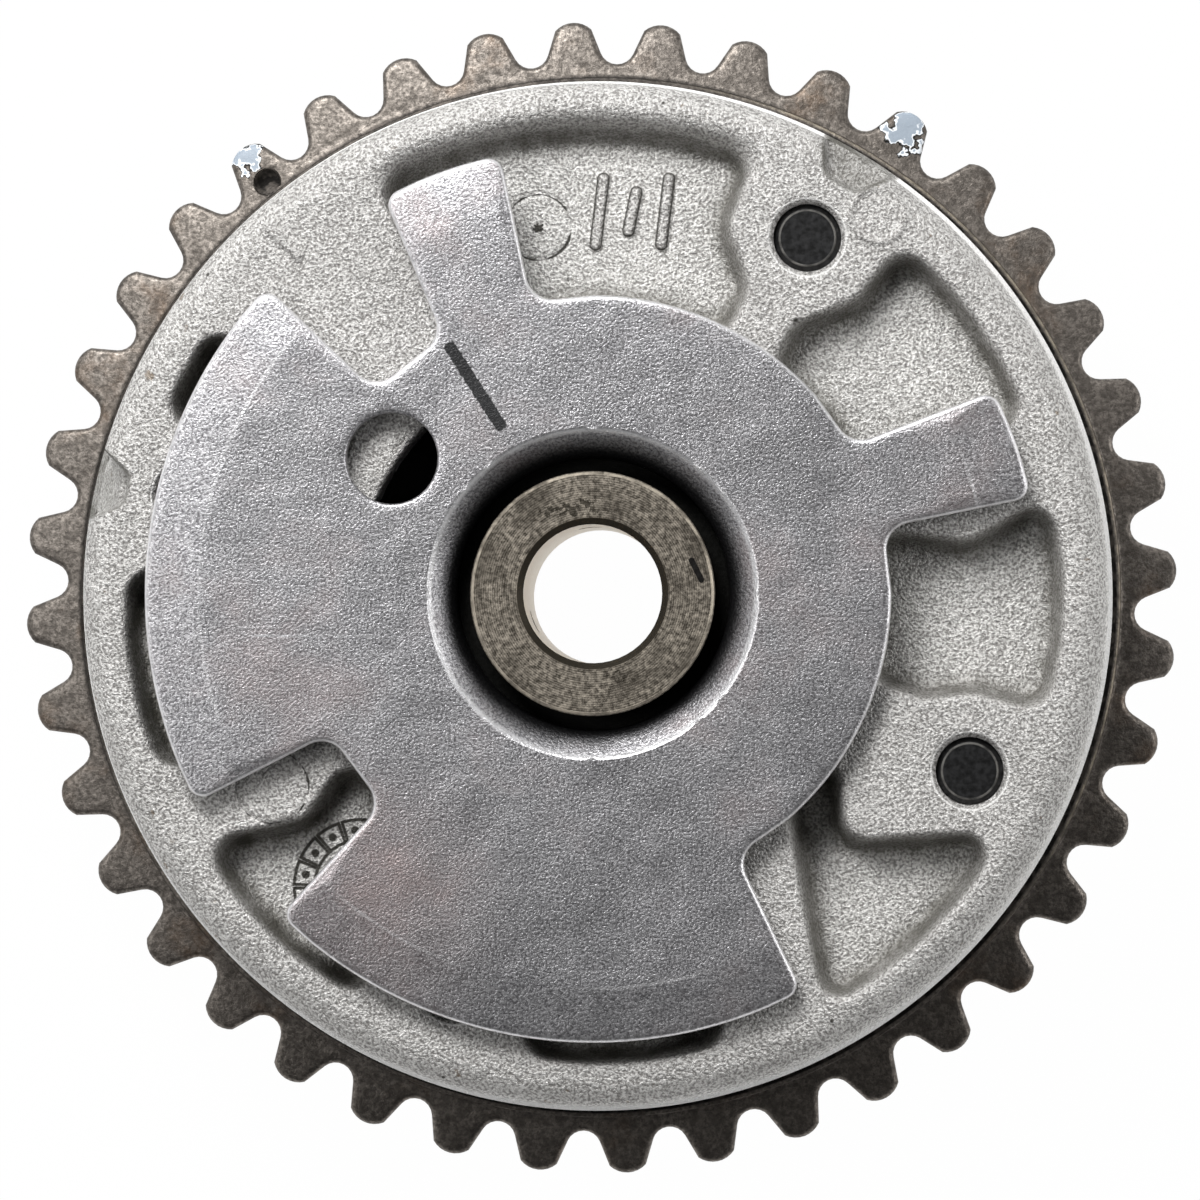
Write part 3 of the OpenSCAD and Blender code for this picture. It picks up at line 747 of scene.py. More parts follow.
@dataclass(frozen=True)
class CastAluminium:
    """Shot-blasted casting with fine grain, pin holes, engraved lines, soiling and painted shade in its
    corners, brighter painted pocket floors, and painted highlights on the wall's step and round the screw
    holes.
    """

    light: Colour = (0.70, 0.685, 0.665)
    shade: Colour = (0.25, 0.24, 0.228)
    # Painted light: the pocket floors take brighter colours than the lands.
    painted_bright_floor_light: Colour = (0.84, 0.825, 0.80)
    painted_bright_floor_shade: Colour = (0.31, 0.30, 0.285)
    # Near-black colour of soiling and painted shade, read from the mesh's tone.
    dirt_and_painted_shade: Colour = (0.085, 0.08, 0.062)
    rust: Colour = (0.16, 0.11, 0.06)
    line: Colour = (0.05, 0.047, 0.04)
    floor_level: float = 28.0
    front_level: float = 32.0
    line_width: float = 0.2
    line_soft: float = 0.06
    # Near-white colour of the painted highlight on the outer wall's step and round the screw holes.
    highlight_white: Colour = (0.90, 0.89, 0.87)
    wall_r: float = 46.08
    foot_level: float = 20.2
    crumbs_from: tuple[float, float] = (42.3, 43.5)
    hole_edge_r: float = 3.42
    screws: ScrewCircle = ScrewCircle()
    dial: Dial = Dial()

    def engraved(self, g: Graph) -> bpy.types.NodeSocket:
        """Share of dark engraved line: the ejector circles, the dial and the bars' edges.

        Args:
            g: Material that takes the lines.

        Returns:
            Socket with the share.
        """
        upper, lower = UPPER_EJECTOR, LOWER_EJECTOR
        rings = g.nearest(
            g.ring(upper.middle(), upper.ring_r, self.floor_level),
            g.ring(lower.middle(), lower.ring_r, self.front_level),
        )
        worn = g.rise(g.noise(0.5, 3.0), 0.35, 0.65, -0.04, 0.12)
        dial = g.minus(self.dial.lines(g, self.floor_level), 0.05)
        lines = g.nearest(g.plus(rings, worn), dial)
        for start, end, width in index_bars():
            away = g.apart(g.stroke(start, end, self.floor_level + 0.2), width / 2)
            lines = g.nearest(lines, g.plus(away, 0.04))
        pit = g.minus(g.vector("DISTANCE", g.spot, (*upper.middle(), self.floor_level)), 0.35)
        ragged = g.plus(pit, g.rise(g.noise(2.0, 2.0), 0.3, 0.7, -0.15, 0.25))
        half = self.line_width / 2
        return g.rise(g.nearest(lines, ragged), half + self.line_soft, half - self.line_soft)

    def edge_highlight(self, g: Graph) -> bpy.types.NodeSocket:
        """Share of painted highlight: a bright band on the step in the outer wall and a thin bright edge
        round each screw hole.

        Args:
            g: Material that takes the edges.

        Returns:
            Socket with the share.
        """
        outer = g.rise(g.radius(), self.wall_r - 0.55, self.wall_r - 0.3)
        above_foot = g.rise(g.height(), self.foot_level - 0.15, self.foot_level + 0.05)
        patchy = g.rise(g.noise(0.8, 3.0), 0.25, 0.5, 0.75, 1.0)
        clean = g.rise(g.tone(), 0.1, 0.4, 1.0, 0.0)
        found = g.times(outer, above_foot, patchy, clean)
        for spot in self.screws.spots():
            edge = g.apart(g.aside(spot), self.hole_edge_r)
            found = g.most(found, g.rise(edge, 0.12, 0.04, 0.0, 0.6))
        return found

    def material(self) -> bpy.types.Material:
        """Builds the material.

        Returns:
            The finish as a material.
        """
        g = Graph("cast_aluminium")
        grain = g.noise(3.9, 2.0, 0.6)
        cloud = g.noise(0.16, 3.0)
        # Painted light: below the floor level the grain mixes between the brighter floor colours.
        floor = g.rise(g.height(), self.floor_level + 0.6, self.floor_level + 0.1)
        shade = g.mix(floor, self.shade, self.painted_bright_floor_shade)
        colour = g.mix(g.rise(grain, 0.34, 0.64), shade, g.mix(floor, self.light, self.painted_bright_floor_light))
        colour = g.mix(g.rise(cloud, 0.45, 0.75, 0.0, 0.2), colour, shade)
        crumbs = g.rise(g.noise(0.7, 4.0, 0.6), 0.66, 0.72, 0.0, 0.7)
        colour = g.mix(g.times(crumbs, g.rise(g.radius(), *self.crumbs_from)), colour, self.rust)
        pits = g.node("ShaderNodeTexVoronoi", Vector=g.spot, Scale=0.42, Randomness=1.0).outputs["Distance"]
        few = g.rise(g.noise(0.11, 2.0), 0.57, 0.66)
        pit = g.times(g.rise(pits, 0.11, 0.05), few)
        # Soiling and painted shade where the mesh's tone is high: wall feet, pocket floors under the lobes,
        # notches.
        patchy = g.times(g.tone(), g.rise(g.noise(0.35, 3.0), 0.25, 0.7, 0.45, 0.95))
        colour = g.mix(patchy, colour, self.dirt_and_painted_shade)
        engraved = self.engraved(g)
        colour = g.mix(g.most(pit, engraved), colour, self.line)
        # Painted highlight: the outer wall's step and a thin ring round each screw hole go near white and
        # less metallic.
        edge_highlight = self.edge_highlight(g)
        colour = g.mix(edge_highlight, colour, self.highlight_white)
        relief = g.plus(grain, g.times(g.noise(0.9, 1.0), 0.6))
        g.set(
            Base_Color=colour, Metallic=g.rise(edge_highlight, 0.0, 1.0, 0.5, 0.05),
            Roughness=g.rise(grain, 0.3, 0.7, 0.58, 0.46),
            Normal=g.bump(relief, 0.26),
        )
        return g.material


@dataclass(frozen=True)
class PressedSteel:
    """Satin cold-rolled sheet with fine grain, faint stains, scratches and one ink stroke, painted highlights
    on the bend line and the upper edges, and painted shade inside the collar.
    """

    light: Colour = (0.62, 0.61, 0.625)
    shade: Colour = (0.22, 0.215, 0.224)
    stain: Colour = (0.36, 0.285, 0.275)
    ink: Colour = (0.012, 0.012, 0.013)
    # Colour of the painted highlights on the bend line and the upper edges.
    painted_highlight: Colour = (0.92, 0.91, 0.92)
    top: float = 34.5
    mouth_r: float = 14.35
    crease_r: float = 34.6
    warm_spot: Spot = (34.0, 233.0)
    scratch: tuple[Spot, Spot] = ((30.2, 187.0), (17.0, 193.0))
    mark: tuple[Spot, Spot] = ((24.9, 120.0), (16.9, 118.7))
    metallic: float = 0.9

    def material(self) -> bpy.types.Material:
        """Builds the material.

        Returns:
            The finish as a material.
        """
        g = Graph("pressed_steel")
        grain = g.noise(4.2, 2.0, 0.7)
        cloud = g.noise(0.07, 4.0, 0.6)
        colour = g.mix(g.rise(grain, 0.33, 0.67), self.shade, self.light)
        warm = g.rise(g.vector("DISTANCE", g.spot, (*polar(*self.warm_spot), self.top)), 16.0, 4.0, 0.0, 0.35)
        blotch = g.plus(g.rise(cloud, 0.48, 0.7, 0.0, 0.4), warm)
        colour = g.mix(blotch, colour, self.stain)
        scratch = g.stroke(*(polar(*end) for end in self.scratch), self.top)
        fade = g.rise(g.noise(0.5), 0.42, 0.6)
        colour = g.mix(g.times(g.rise(scratch, 0.16, 0.05), fade), colour, self.light)
        # Painted highlight: a faint bright line along the bend.
        crease = g.rise(g.apart(g.radius(), self.crease_r), 0.22, 0.04, 0.0, 0.45)
        colour = g.mix(g.times(crease, g.rise(g.noise(0.09, 2.0), 0.4, 0.6)), colour, self.painted_highlight)
        mark = g.stroke(*(polar(*end) for end in self.mark), self.top)
        inked = g.rise(g.plus(mark, g.rise(grain, 0.3, 0.7, -0.06, 0.06)), 0.6, 0.5)
        colour = g.mix(inked, colour, self.ink)
        speck = g.rise(g.noise(5.5, 1.0, 0.5), 0.64, 0.72, 0.0, 0.55)
        colour = g.mix(speck, colour, self.ink)
        fine = g.bump(g.plus(grain, g.times(g.noise(0.25, 1.0), 2.0)), 0.06)
        # Painted shade: inside the collar's mouth the sheet goes nearly black.
        painted_collar_shade = g.rise(g.radius(), self.mouth_r - 0.2, self.mouth_r - 2.0, 0.0, 0.95)
        colour = g.mix(painted_collar_shade, colour, self.ink)
        # Painted highlight along the sheet's upper edges and the collar's mouth, from the mesh's tone.
        painted_edge_highlight = g.times(g.tone(), g.rise(g.noise(0.6, 2.0), 0.2, 0.6, 0.5, 1.0))
        colour = g.mix(painted_edge_highlight, colour, self.painted_highlight)
        g.set(
            Base_Color=colour, Metallic=g.minus(self.metallic, g.times(inked, self.metallic)),
            Roughness=g.rise(cloud, 0.3, 0.7, 0.35, 0.44), Normal=fine,
        )
        return g.material


@dataclass(frozen=True)
class PaintDab:
    """Dab of pale marking paint on one tooth."""

    angle: float
    start: float
    end: float
    half_width: float


@dataclass(frozen=True)
class SinteredSteel:
    """Dark brownish sintered steel, oiled, with two paint dabs, painted shade in the dimple, in the gap and
    in the seam by the housing, and a painted highlight along the land's edge.
    """

    light: Colour = (0.28, 0.25, 0.222)
    shade: Colour = (0.085, 0.075, 0.066)
    rust: Colour = (0.15, 0.09, 0.05)
    paint: Colour = (0.30, 0.35, 0.41)
    paint_edge: Colour = (0.80, 0.83, 0.86)
    # Near-black colour of oiled patches and painted shade; it also edges the paint dabs.
    oil_and_painted_shade: Colour = (0.012, 0.011, 0.010)
    # Tan colour of the painted highlight along the land's edge.
    painted_highlight: Colour = (0.36, 0.315, 0.25)
    land_r: float = 47.18
    land_top: float = 11.0
    dabs: tuple[PaintDab, ...] = (PaintDab(128.75, 51.2, 52.0, 1.25), PaintDab(56.75, 50.5, 52.0, 1.6))
    level: float = 10.0
    dimple: Spot = (48.48, 128.75)
    dimple_r: float = 1.12
    shaded_way: Corner = (0.7, -0.7, 0.0)
    highlight_way: Corner = (0.94, 0.34, 0.0)
    metallic: float = 0.92

    def material(self) -> bpy.types.Material:
        """Builds the material.

        Returns:
            The finish as a material.
        """
        g = Graph("sintered_steel")
        grain = g.noise(2.8, 4.0, 0.65)
        cloud = g.noise(0.13, 4.0, 0.6)
        colour = g.mix(g.rise(grain, 0.3, 0.72), self.shade, self.light)
        colour = g.mix(g.rise(cloud, 0.52, 0.7, 0.0, 0.4), colour, self.rust)
        # Painted shade: the timing dimple goes nearly black.
        hole = g.rise(g.aside(polar(*self.dimple)), self.dimple_r + 0.15, self.dimple_r)
        on_land = g.rise(g.height(), self.land_top - 0.5, self.land_top - 0.25)
        # Painted shadow: on one side the land in the gap by the housing goes nearly black.
        shaded_side = g.rise(g.vector("DOT_PRODUCT", g.spot, self.shaded_way), -30.0, -10.0)
        gap = g.times(on_land, g.rise(g.radius(), self.land_r - 0.25, self.land_r - 0.45))
        colour = g.mix(g.most(hole, g.times(gap, shaded_side)), colour, self.oil_and_painted_shade)
        # Soiling and painted shade in the seam at the housing's foot, on the other side.
        seam = g.rise(g.radius(), self.land_r + 0.5, self.land_r + 0.1, 0.0, 0.85)
        colour = g.mix(g.times(seam, g.minus(1.0, shaded_side)), colour, self.oil_and_painted_shade)
        # Painted highlight: a tan line along the land's edge, on one side only.
        highlight_side = g.rise(g.vector("DOT_PRODUCT", g.spot, self.highlight_way), 20.0, 38.0)
        edge = g.times(on_land, g.rise(g.radius(), self.land_r - 0.3, self.land_r - 0.15))
        worn = g.times(highlight_side, edge, g.rise(cloud, 0.3, 0.6, 0.4, 1.0))
        colour = g.mix(worn, colour, self.painted_highlight)
        metal: Any = self.metallic
        blot = g.noise(0.9, 2.0)
        colour = g.mix(g.rise(blot, 0.46, 0.62, 0.0, 0.55), colour, self.shade)
        ragged = g.rise(blot, 0.3, 0.7, -0.8, 0.8)
        for dab in self.dabs:
            line = g.stroke(polar(dab.start, dab.angle), polar(dab.end, dab.angle), self.level)
            line = g.minus(g.plus(line, ragged), dab.half_width)
            share = g.rise(line, 0.1, -0.1)
            colour = g.mix(g.rise(line, 0.35, 0.15), colour, self.oil_and_painted_shade)
            colour = g.mix(share, colour, g.mix(g.rise(line, -0.45, -0.2), self.paint, self.paint_edge))
            metal = g.minus(metal, g.times(share, self.metallic))
        coarse = g.bump(cloud, 0.12)
        g.set(
            Base_Color=colour, Metallic=metal, Roughness=g.rise(grain, 0.3, 0.7, 0.52, 0.42),
            Normal=g.bump(grain, 0.05, coarse),
        )
        return g.material


@dataclass(frozen=True)
class TurnedSteel:
    """Turned and lightly oiled steel: rings round the axis, brown tint, dark smudges and one ink stroke, with
    painted shade in the groove round the nose and painted highlights on the nose's top edge and the bore
    wall.
    """

    name: str = "turned_steel"
    light: Colour = (0.45, 0.40, 0.33)
    shade: Colour = (0.07, 0.06, 0.047)
    # Near-black colour of the oiled film and the painted shade in the groove.
    oil_and_painted_shade: Colour = (0.008, 0.008, 0.007)
    dark_brown: Colour = (0.035, 0.03, 0.022)
    # Colour of the painted highlights on the nose's top edge and the bore wall.
    painted_highlight: Colour = (0.72, 0.64, 0.52)
    ink: Colour = (0.015, 0.014, 0.013)
    ring_pitch: float = 0.2
    bore_r: float = 6.1
    nose_r: float = 10.75
    top: float = 34.5
    mark: tuple[Spot, Spot] = ((9.55, 1.2), (8.7, 2.9))
    scuffs: tuple[tuple[Spot, Spot], ...] = (
        ((-4.5, 7.1), (-1.2, 7.5)), ((-1.3, 8.5), (0.2, 7.3)), ((1.5, -7.0), (3.6, -7.7)),
    )

    def material(self) -> bpy.types.Material:
        """Builds the material.

        Returns:
            The finish as a material.
        """
        g = Graph(self.name)
        grain = g.noise(2.4, 5.0, 0.72)
        wave = g.math("SINE", g.times(g.radius(), 2 * math.pi / self.ring_pitch))
        rings = g.plus(g.times(wave, 0.06), grain)
        colour = g.mix(g.rise(rings, 0.28, 0.76), self.shade, self.light)
        colour = g.mix(g.rise(g.noise(0.24, 4.0, 0.6), 0.47, 0.66, 0.0, 0.65), colour, self.shade)
        ragged = g.rise(g.noise(1.7, 3.0), 0.3, 0.7, -0.5, 0.7)
        scuff = g.nearest(*(g.stroke(np.array(a), np.array(b), self.top) for a, b in self.scuffs))
        colour = g.mix(g.rise(g.plus(scuff, ragged), 0.3, 0.1, 0.0, 0.8), colour, self.dark_brown)
        # Painted shade: the groove round the nose and the rotor below it go nearly black.
        colour = g.mix(self.groove(g), colour, self.oil_and_painted_shade)
        near_top = g.rise(g.height(), self.top - 0.75, self.top - 0.6)
        # Darker band at the bore's chamfer.
        chamfer = g.times(near_top, g.rise(g.radius(), self.bore_r + 0.62, self.bore_r + 0.5))
        colour = g.mix(chamfer, colour, self.dark_brown)
        # Painted highlight along the nose's top edge.
        edge = g.rise(g.apart(g.radius(), self.nose_r - 0.22), 0.16, 0.06)
        at_top = g.rise(g.height(), self.top - 0.4, self.top - 0.3)
        edge = g.times(edge, at_top, g.rise(g.noise(0.5, 3.0), 0.35, 0.6, 0.15, 0.9))
        colour = g.mix(edge, colour, self.painted_highlight)
        # Painted light: the bore wall below the chamfer goes bright.
        in_bore = g.rise(g.radius(), self.bore_r + 0.2, self.bore_r + 0.1)
        colour = g.mix(g.times(in_bore, g.minus(1.0, near_top)), colour, self.painted_highlight)
        mark = g.stroke(*(np.array(end) for end in self.mark), self.top)
        colour = g.mix(g.rise(mark, 0.3, 0.22), colour, self.ink)
        g.set(
            Base_Color=colour, Metallic=0.8, Roughness=g.rise(grain, 0.3, 0.7, 0.34, 0.5),
            Normal=g.bump(rings, 0.03),
        )
        return g.material

    def groove(self, g: Graph) -> bpy.types.NodeSocket:
        """Share of dark oiled film and painted shade in the groove round the nose and on everything below it.

        Args:
            g: Material that takes the dark colour.

        Returns:
            Socket with the share.
        """
        round_nose = g.rise(g.radius(), self.nose_r - 0.3, self.nose_r - 0.02)
        below = g.rise(g.height(), self.top - 0.25, self.top - 0.7)
        return g.times(round_nose, below)


@dataclass(frozen=True)
class PlainFinish:
    """Finish of a small piece: one tint with grain in colour, gloss and relief."""

    name: str
    light: Colour
    shade: Colour
    metallic: float
    gloss: tuple[float, float]
    grain: float = 2.0
    depth: float = 0.02

    def material(self) -> bpy.types.Material:
        """Builds the material.

        Returns:
            The finish as a material.
        """
        g = Graph(self.name)
        grain = g.noise(self.grain, 4.0, 0.6)
        g.set(
            Base_Color=g.mix(g.rise(grain, 0.3, 0.7), self.shade, self.light), Metallic=self.metallic,
            Roughness=g.rise(grain, 0.3, 0.7, *self.gloss), Normal=g.bump(grain, self.depth),
        )
        return g.material


@dataclass(frozen=True)
class BlackOxide:
    """Black screw steel with a painted highlight round each screw's end."""

    light: Colour = (0.026, 0.026, 0.027)
    shade: Colour = (0.012, 0.012, 0.012)
    # Colour of the painted highlight round each screw's end.
    painted_highlight: Colour = (0.30, 0.29, 0.27)
    screws: ScrewCircle = ScrewCircle()
    edge_r: float = 2.45
    end: float = 31.4

    def material(self) -> bpy.types.Material:
        """Builds the material.

        Returns:
            The finish as a material.
        """
        g = Graph("black_oxide")
        grain = g.noise(2.0, 4.0, 0.6)
        colour = g.mix(g.rise(grain, 0.3, 0.7), self.shade, self.light)
        # Painted highlight: a bright ring round the edge of each screw's end.
        edge = g.nearest(*(g.ring(spot, self.edge_r, self.end) for spot in self.screws.spots()))
        worn = g.times(g.rise(edge, 0.13, 0.05), g.rise(g.noise(0.8, 2.0), 0.3, 0.6, 0.15, 0.65))
        g.set(
            Base_Color=g.mix(worn, colour, self.painted_highlight), Metallic=0.5,
            Roughness=g.rise(grain, 0.3, 0.7, 0.32, 0.45), Normal=g.bump(grain, 0.02),
        )
        return g.material


GROUND_STEEL = PlainFinish(
    "ground_steel", light=(0.46, 0.46, 0.47), shade=(0.36, 0.36, 0.37), metallic=0.9, gloss=(0.22, 0.36),
    grain=4.0, depth=0.01,
)
SPRING_STEEL = PlainFinish(
    "spring_steel", light=(0.34, 0.34, 0.36), shade=(0.25, 0.25, 0.27), metallic=0.9, gloss=(0.25, 0.4),
    grain=5.0, depth=0.01,
)
SEAL_PLASTIC = PlainFinish(
    "seal_plastic", light=(0.02, 0.02, 0.022), shade=(0.012, 0.012, 0.013), metallic=0.0, gloss=(0.45, 0.6),
    grain=3.0,
)
SEAL_RUBBER = PlainFinish(
    "seal_rubber", light=(0.012, 0.012, 0.012), shade=(0.007, 0.007, 0.007), metallic=0.0, gloss=(0.6, 0.75),
    grain=3.0,
)


def paint(piece: bpy.types.Object, material: bpy.types.Material) -> None:
    """Gives a piece one material in place of what it has."""
    piece.data.materials.clear()
    piece.data.materials.append(material)


# Housing


@dataclass(frozen=True)
class CastMark:
    """Raised or sunk line of the casting."""

    path: Points
    width: float
    rise: float
    closed: bool = False
    soft: float = 0.18

    def lift(self, points: Points) -> np.ndarray:
        """Height that the mark adds at each point."""
        away = path_distance(points, self.path, self.closed)
        return self.rise * (1 - ease(self.width / 2 - self.soft, self.width / 2 + self.soft, away))

    def near(self, points: Points) -> np.ndarray:
        """Whether each point is close enough to need a fine mesh."""
        return path_distance(points, self.path, self.closed) < self.width / 2 + self.soft + 0.4


@dataclass
class Housing:
    """Cast vane housing with its front pockets, rim notches and cast marks."""

    rear: float = 11.0
    roof: float = 25.0
    front: float = 32.0
    wall_r: float = 46.08
    foot_h: float = 9.2
    step: float = 0.75
    step_h: float = 1.5
    draft: float = 0.9
    shoulder_r: float = 2.6
    opening_r: float = 20.9
    opening_edge: float = 0.4
    pocket_inner_r: float = 25.3
    pocket_outer_r: float = 41.38
    pocket_depth: float = 4.0
    notch_depth: float = 2.0
    notch_reach: float = 4.0
    notch_ramps: tuple[float, float] = (0.3, 2.6)
    notch_corner_r: float = 1.5
    notch_flat: float = 0.8
    notch_steepness: float = 2.8
    screw_hole_r: float = 3.0
    hole_chamfer: float = 0.4
    screws: ScrewCircle = ScrewCircle()
    rim_points: int = 360
    opening_points: int = 180
    hole_points: int = 64
    fine: float = 0.24
    coarse: float = 0.85
    # Pockets whose floors get painted shadow under the wheel's lobes; the dark ones get the full painted
    # shade at their wall foot.
    lobe_shadowed: tuple[int, ...] = (0, 1, 4)
    dark: tuple[int, ...] = (0, 1, 4, 5)
    soft_pockets: dict[int, Spot] = field(default_factory=lambda: {3: (68.0, 119.0)})
    soft_ends: float = 6.0
    sharp_above: float = 50.0

    def pockets(self) -> list[Points]:
        """Outlines of the eight front pockets.

        Returns:
            Points of each outline.
        """
        near = ((0, 7.6, 3), (0.33, 7.4, 3), (0.58, 10.5, 3), (1, 10.2, 2.6))
        wide_near = ((0, 3.2, 2.4), (0.32, 3.9, 3), (0.56, 10.7, 3), (1, 10.6, 2.6))
        far = ((1, 37.8, 2.4), (0.5, 33.4, 3), (0, 38.5, 2.4))
        back_near = ((1, -10.2, 2.6), (0.58, -10.6, 3), (0.26, -5.4, 3), (0, -7, 2.4))
        back_far = ((0, -37.6, 2.4), (0.44, -33, 3), (1, -38.8, 2.4))
        wide_far = ((1, 59.4, 2.6), (0, 57, 2.6))
        short_far = ((0, -22, 2.4), (1, -21.8, 2.4))
        short_near = ((1, -8.2, 2.6), (0.58, -9, 3), (0.26, -5.4, 3), (0, -7, 2.4))
        boot_far = ((-0.15, -19, 2.1), (1.04, -36.2, 2.2))
        boot_near = ((1.04, -4.4, 2.1), (0.36, -18.8, 2), (0, -7.5, 2.1))
        plan = (
            (0, near, far), (1, near, far), (2, near, far), (3, wide_near, wide_far),
            (0, short_far, short_near), (1, back_far, back_near),
            (2, boot_far, boot_near), (3, back_far, back_near),
        )
        return [self.pocket(self.screws.angles[screw], a, b) for screw, a, b in plan]

    def pocket(self, screw: float, first: Sequence[Corner], second: Sequence[Corner]) -> Points:
        """Outline of one pocket.

        Args:
            screw: Angle of the screw that the pocket lies beside.
            first: Corners of one side, as share of the reach, angle from the screw and fillet radius.
            second: Corners of the other side.

        Returns:
            Points of the outline.
        """
        reach = self.pocket_outer_r - self.pocket_inner_r
        a, b = (
            [(self.pocket_inner_r + share * reach, screw + turn, corner_r) for share, turn, corner_r in side]
            for side in (first, second)
        )
        there, back = arc_between(a[-1], b[0], POCKET_STEP), arc_between(b[-1], a[0], POCKET_STEP)
        return rounded([*a, *there, *b, *back])

    def notches(self) -> list[Points]:
        """Outlines of the two rim notches, open past the wall.

        Returns:
            Points of each outline.
        """
        inner, outer = self.wall_r - self.notch_reach, self.wall_r + self.notch_reach
        plan = ((3, -2.4, 2.2, 2.6), (0, -0.9, 3.0, 2.4))
        found = []
        for screw, a, b, flare in plan:
            first, last = self.screws.angles[screw] + a, self.screws.angles[screw] + b
            found.append(rounded([
                (outer, first - 2 * flare, 0.0), (outer, last + 2 * flare, 0.0),
                (inner, last, self.notch_corner_r), (inner, first, self.notch_corner_r),
            ]))
        return found

    def marks(self) -> list[CastMark]:
        """Plain raised bars, the rim's raised ring and the sunk ejector rings.

        Returns:
            Marks of the front.
        """
        found = [CastMark(circle(2.4, 36, polar(41.7, 53.1)), width=0.45, rise=0.25, closed=True, soft=0.16)]
        for mark in (LOWER_EJECTOR, UPPER_EJECTOR):
            ring = circle(mark.ring_r, 48, mark.middle())
            found.append(CastMark(ring, width=0.3, rise=-0.16, closed=True, soft=0.16))
        found.append(CastMark(np.array([polar(43.0, 131.5), polar(39.6, 131.0)]), width=0.9, rise=0.3))
        for start, end, width in index_bars():
            found.append(CastMark(np.array([start, end]), width, rise=0.5, soft=0.16))
        return found

    def base(self, plan: Points) -> Points:
        """Front flat and rounded shoulder.

        Args:
            plan: Plan points; their radius runs along the surface.

        Returns:
            Points in space.
        """
        along = length_of(plan)
        flat = self.wall_r - self.draft - self.shoulder_r
        turn = np.clip((along - flat) / self.shoulder_r, 0, math.pi / 2)
        radius = np.where(along > flat, flat + self.shoulder_r * np.sin(turn), along)
        level = self.front - self.shoulder_r * (1 - np.cos(turn))
        return np.column_stack([plan * (radius / np.maximum(along, 1e-9))[:, None], level])

    def wall_share(self, depth: np.ndarray) -> np.ndarray:
        """Share of a recess's depth at a distance inside its outline.

        Args:
            depth: Distances inside the outline.

        Returns:
            Shares from 0 to 1.
        """
        at = (-0.4, -0.22, -0.05, 0.1, 0.25, 0.75, 0.95, 1.15, 1.4, 1.7)
        share = (0.0, 0.012, 0.05, 0.125, 0.25, 0.75, 0.88, 0.95, 0.988, 1.0)
        return np.interp(depth, at, share)

    def soften(self, plan: Points, share: np.ndarray, span: tuple[float, float]) -> np.ndarray:
        """Gives a pocket's outer wall a wide soft curve.

        Args:
            plan: Plan points.
            share: Share of the pocket's depth at each point.
            span: Angles between which the outer wall is soft, in degrees.

        Returns:
            Shares with the soft wall.
        """
        away = self.pocket_outer_r - length_of(plan)
        angle = np.degrees(np.arctan2(plan[:, 1], plan[:, 0])) % 360
        window = ease(span[0], span[0] + self.soft_ends, angle)
        window *= 1 - ease(span[1] - self.soft_ends, span[1], angle)
        window *= 1 - ease(1.8, 2.6, away)
        return share + window * (ease(-1.3, 1.8, away) - share)

    def grime_and_painted_shade(self, points: Points) -> np.ndarray:
        """Soiling and painted shade that each point of the casting carries: most at the foot of the pocket
        walls, painted shadow on the floors of the pockets under the wheel's lobes, and on the notch floors
        and along the notch edges.

        Args:
            points: Points of the mesh, in millimetres.

        Returns:
            Share of soiling and painted shade from 0 to 1.
        """
        found = np.zeros(len(points))
        pocket_foot = self.roof - 2
        front = np.flatnonzero(points[:, 2] > pocket_foot)
        plan = points[front, :2]
        for i, outline in enumerate(self.pockets()):
            depth = depth_inside(plan, outline)
            band = ease(-0.2, 0.5, depth) * (1 - ease(1.1, 2.5, depth))
            # Painted shadow on the floors of the pockets that the lobes overhang.
            if i in self.lobe_shadowed:
                band = np.maximum(band, 0.8 * ease(0.2, 1.2, depth))
            found[front] = np.maximum(found[front], band * (1.0 if i in self.dark else 0.8))
        upper = np.flatnonzero(points[:, 2] > self.rear + self.foot_h - TOUCH)
        for outline in self.notches():
            depth = depth_inside(points[upper, :2], outline)
            floor = ease(0.1, 0.5, depth)
            band = np.maximum(0.5 * floor, 0.9 * (1 - ease(0.1, 0.32, np.abs(depth - 0.1))))
            low = points[upper, 2] < pocket_foot
            found[upper] = np.maximum(found[upper], np.where(low, floor, band))
        return found

    def surface(self, plan: Points) -> Points:
        """Place in space of each plan point of the front.

        Args:
            plan: Plan points.

        Returns:
            Points in space.
        """
        spots = self.base(plan)
        for i, outline in enumerate(self.pockets()):
            share = self.wall_share(depth_inside(plan, outline))
            if i in self.soft_pockets:
                share = self.soften(plan, share, self.soft_pockets[i])
            spots[:, 2] -= self.pocket_depth * share
        outward = length_of(spots[:, :2]) - self.wall_r + self.notch_reach
        for outline, ramp in zip(self.notches(), self.notch_ramps):
            share = self.wall_share(depth_inside(spots[:, :2], outline) * self.notch_steepness)
            floor = self.front - share * (self.notch_depth + ramp * np.maximum(outward - self.notch_flat, 0))
            spots[:, 2] = np.where(share > 0, np.minimum(spots[:, 2], floor), spots[:, 2])
        for mark in self.marks():
            spots[:, 2] += mark.lift(plan)
        return spots

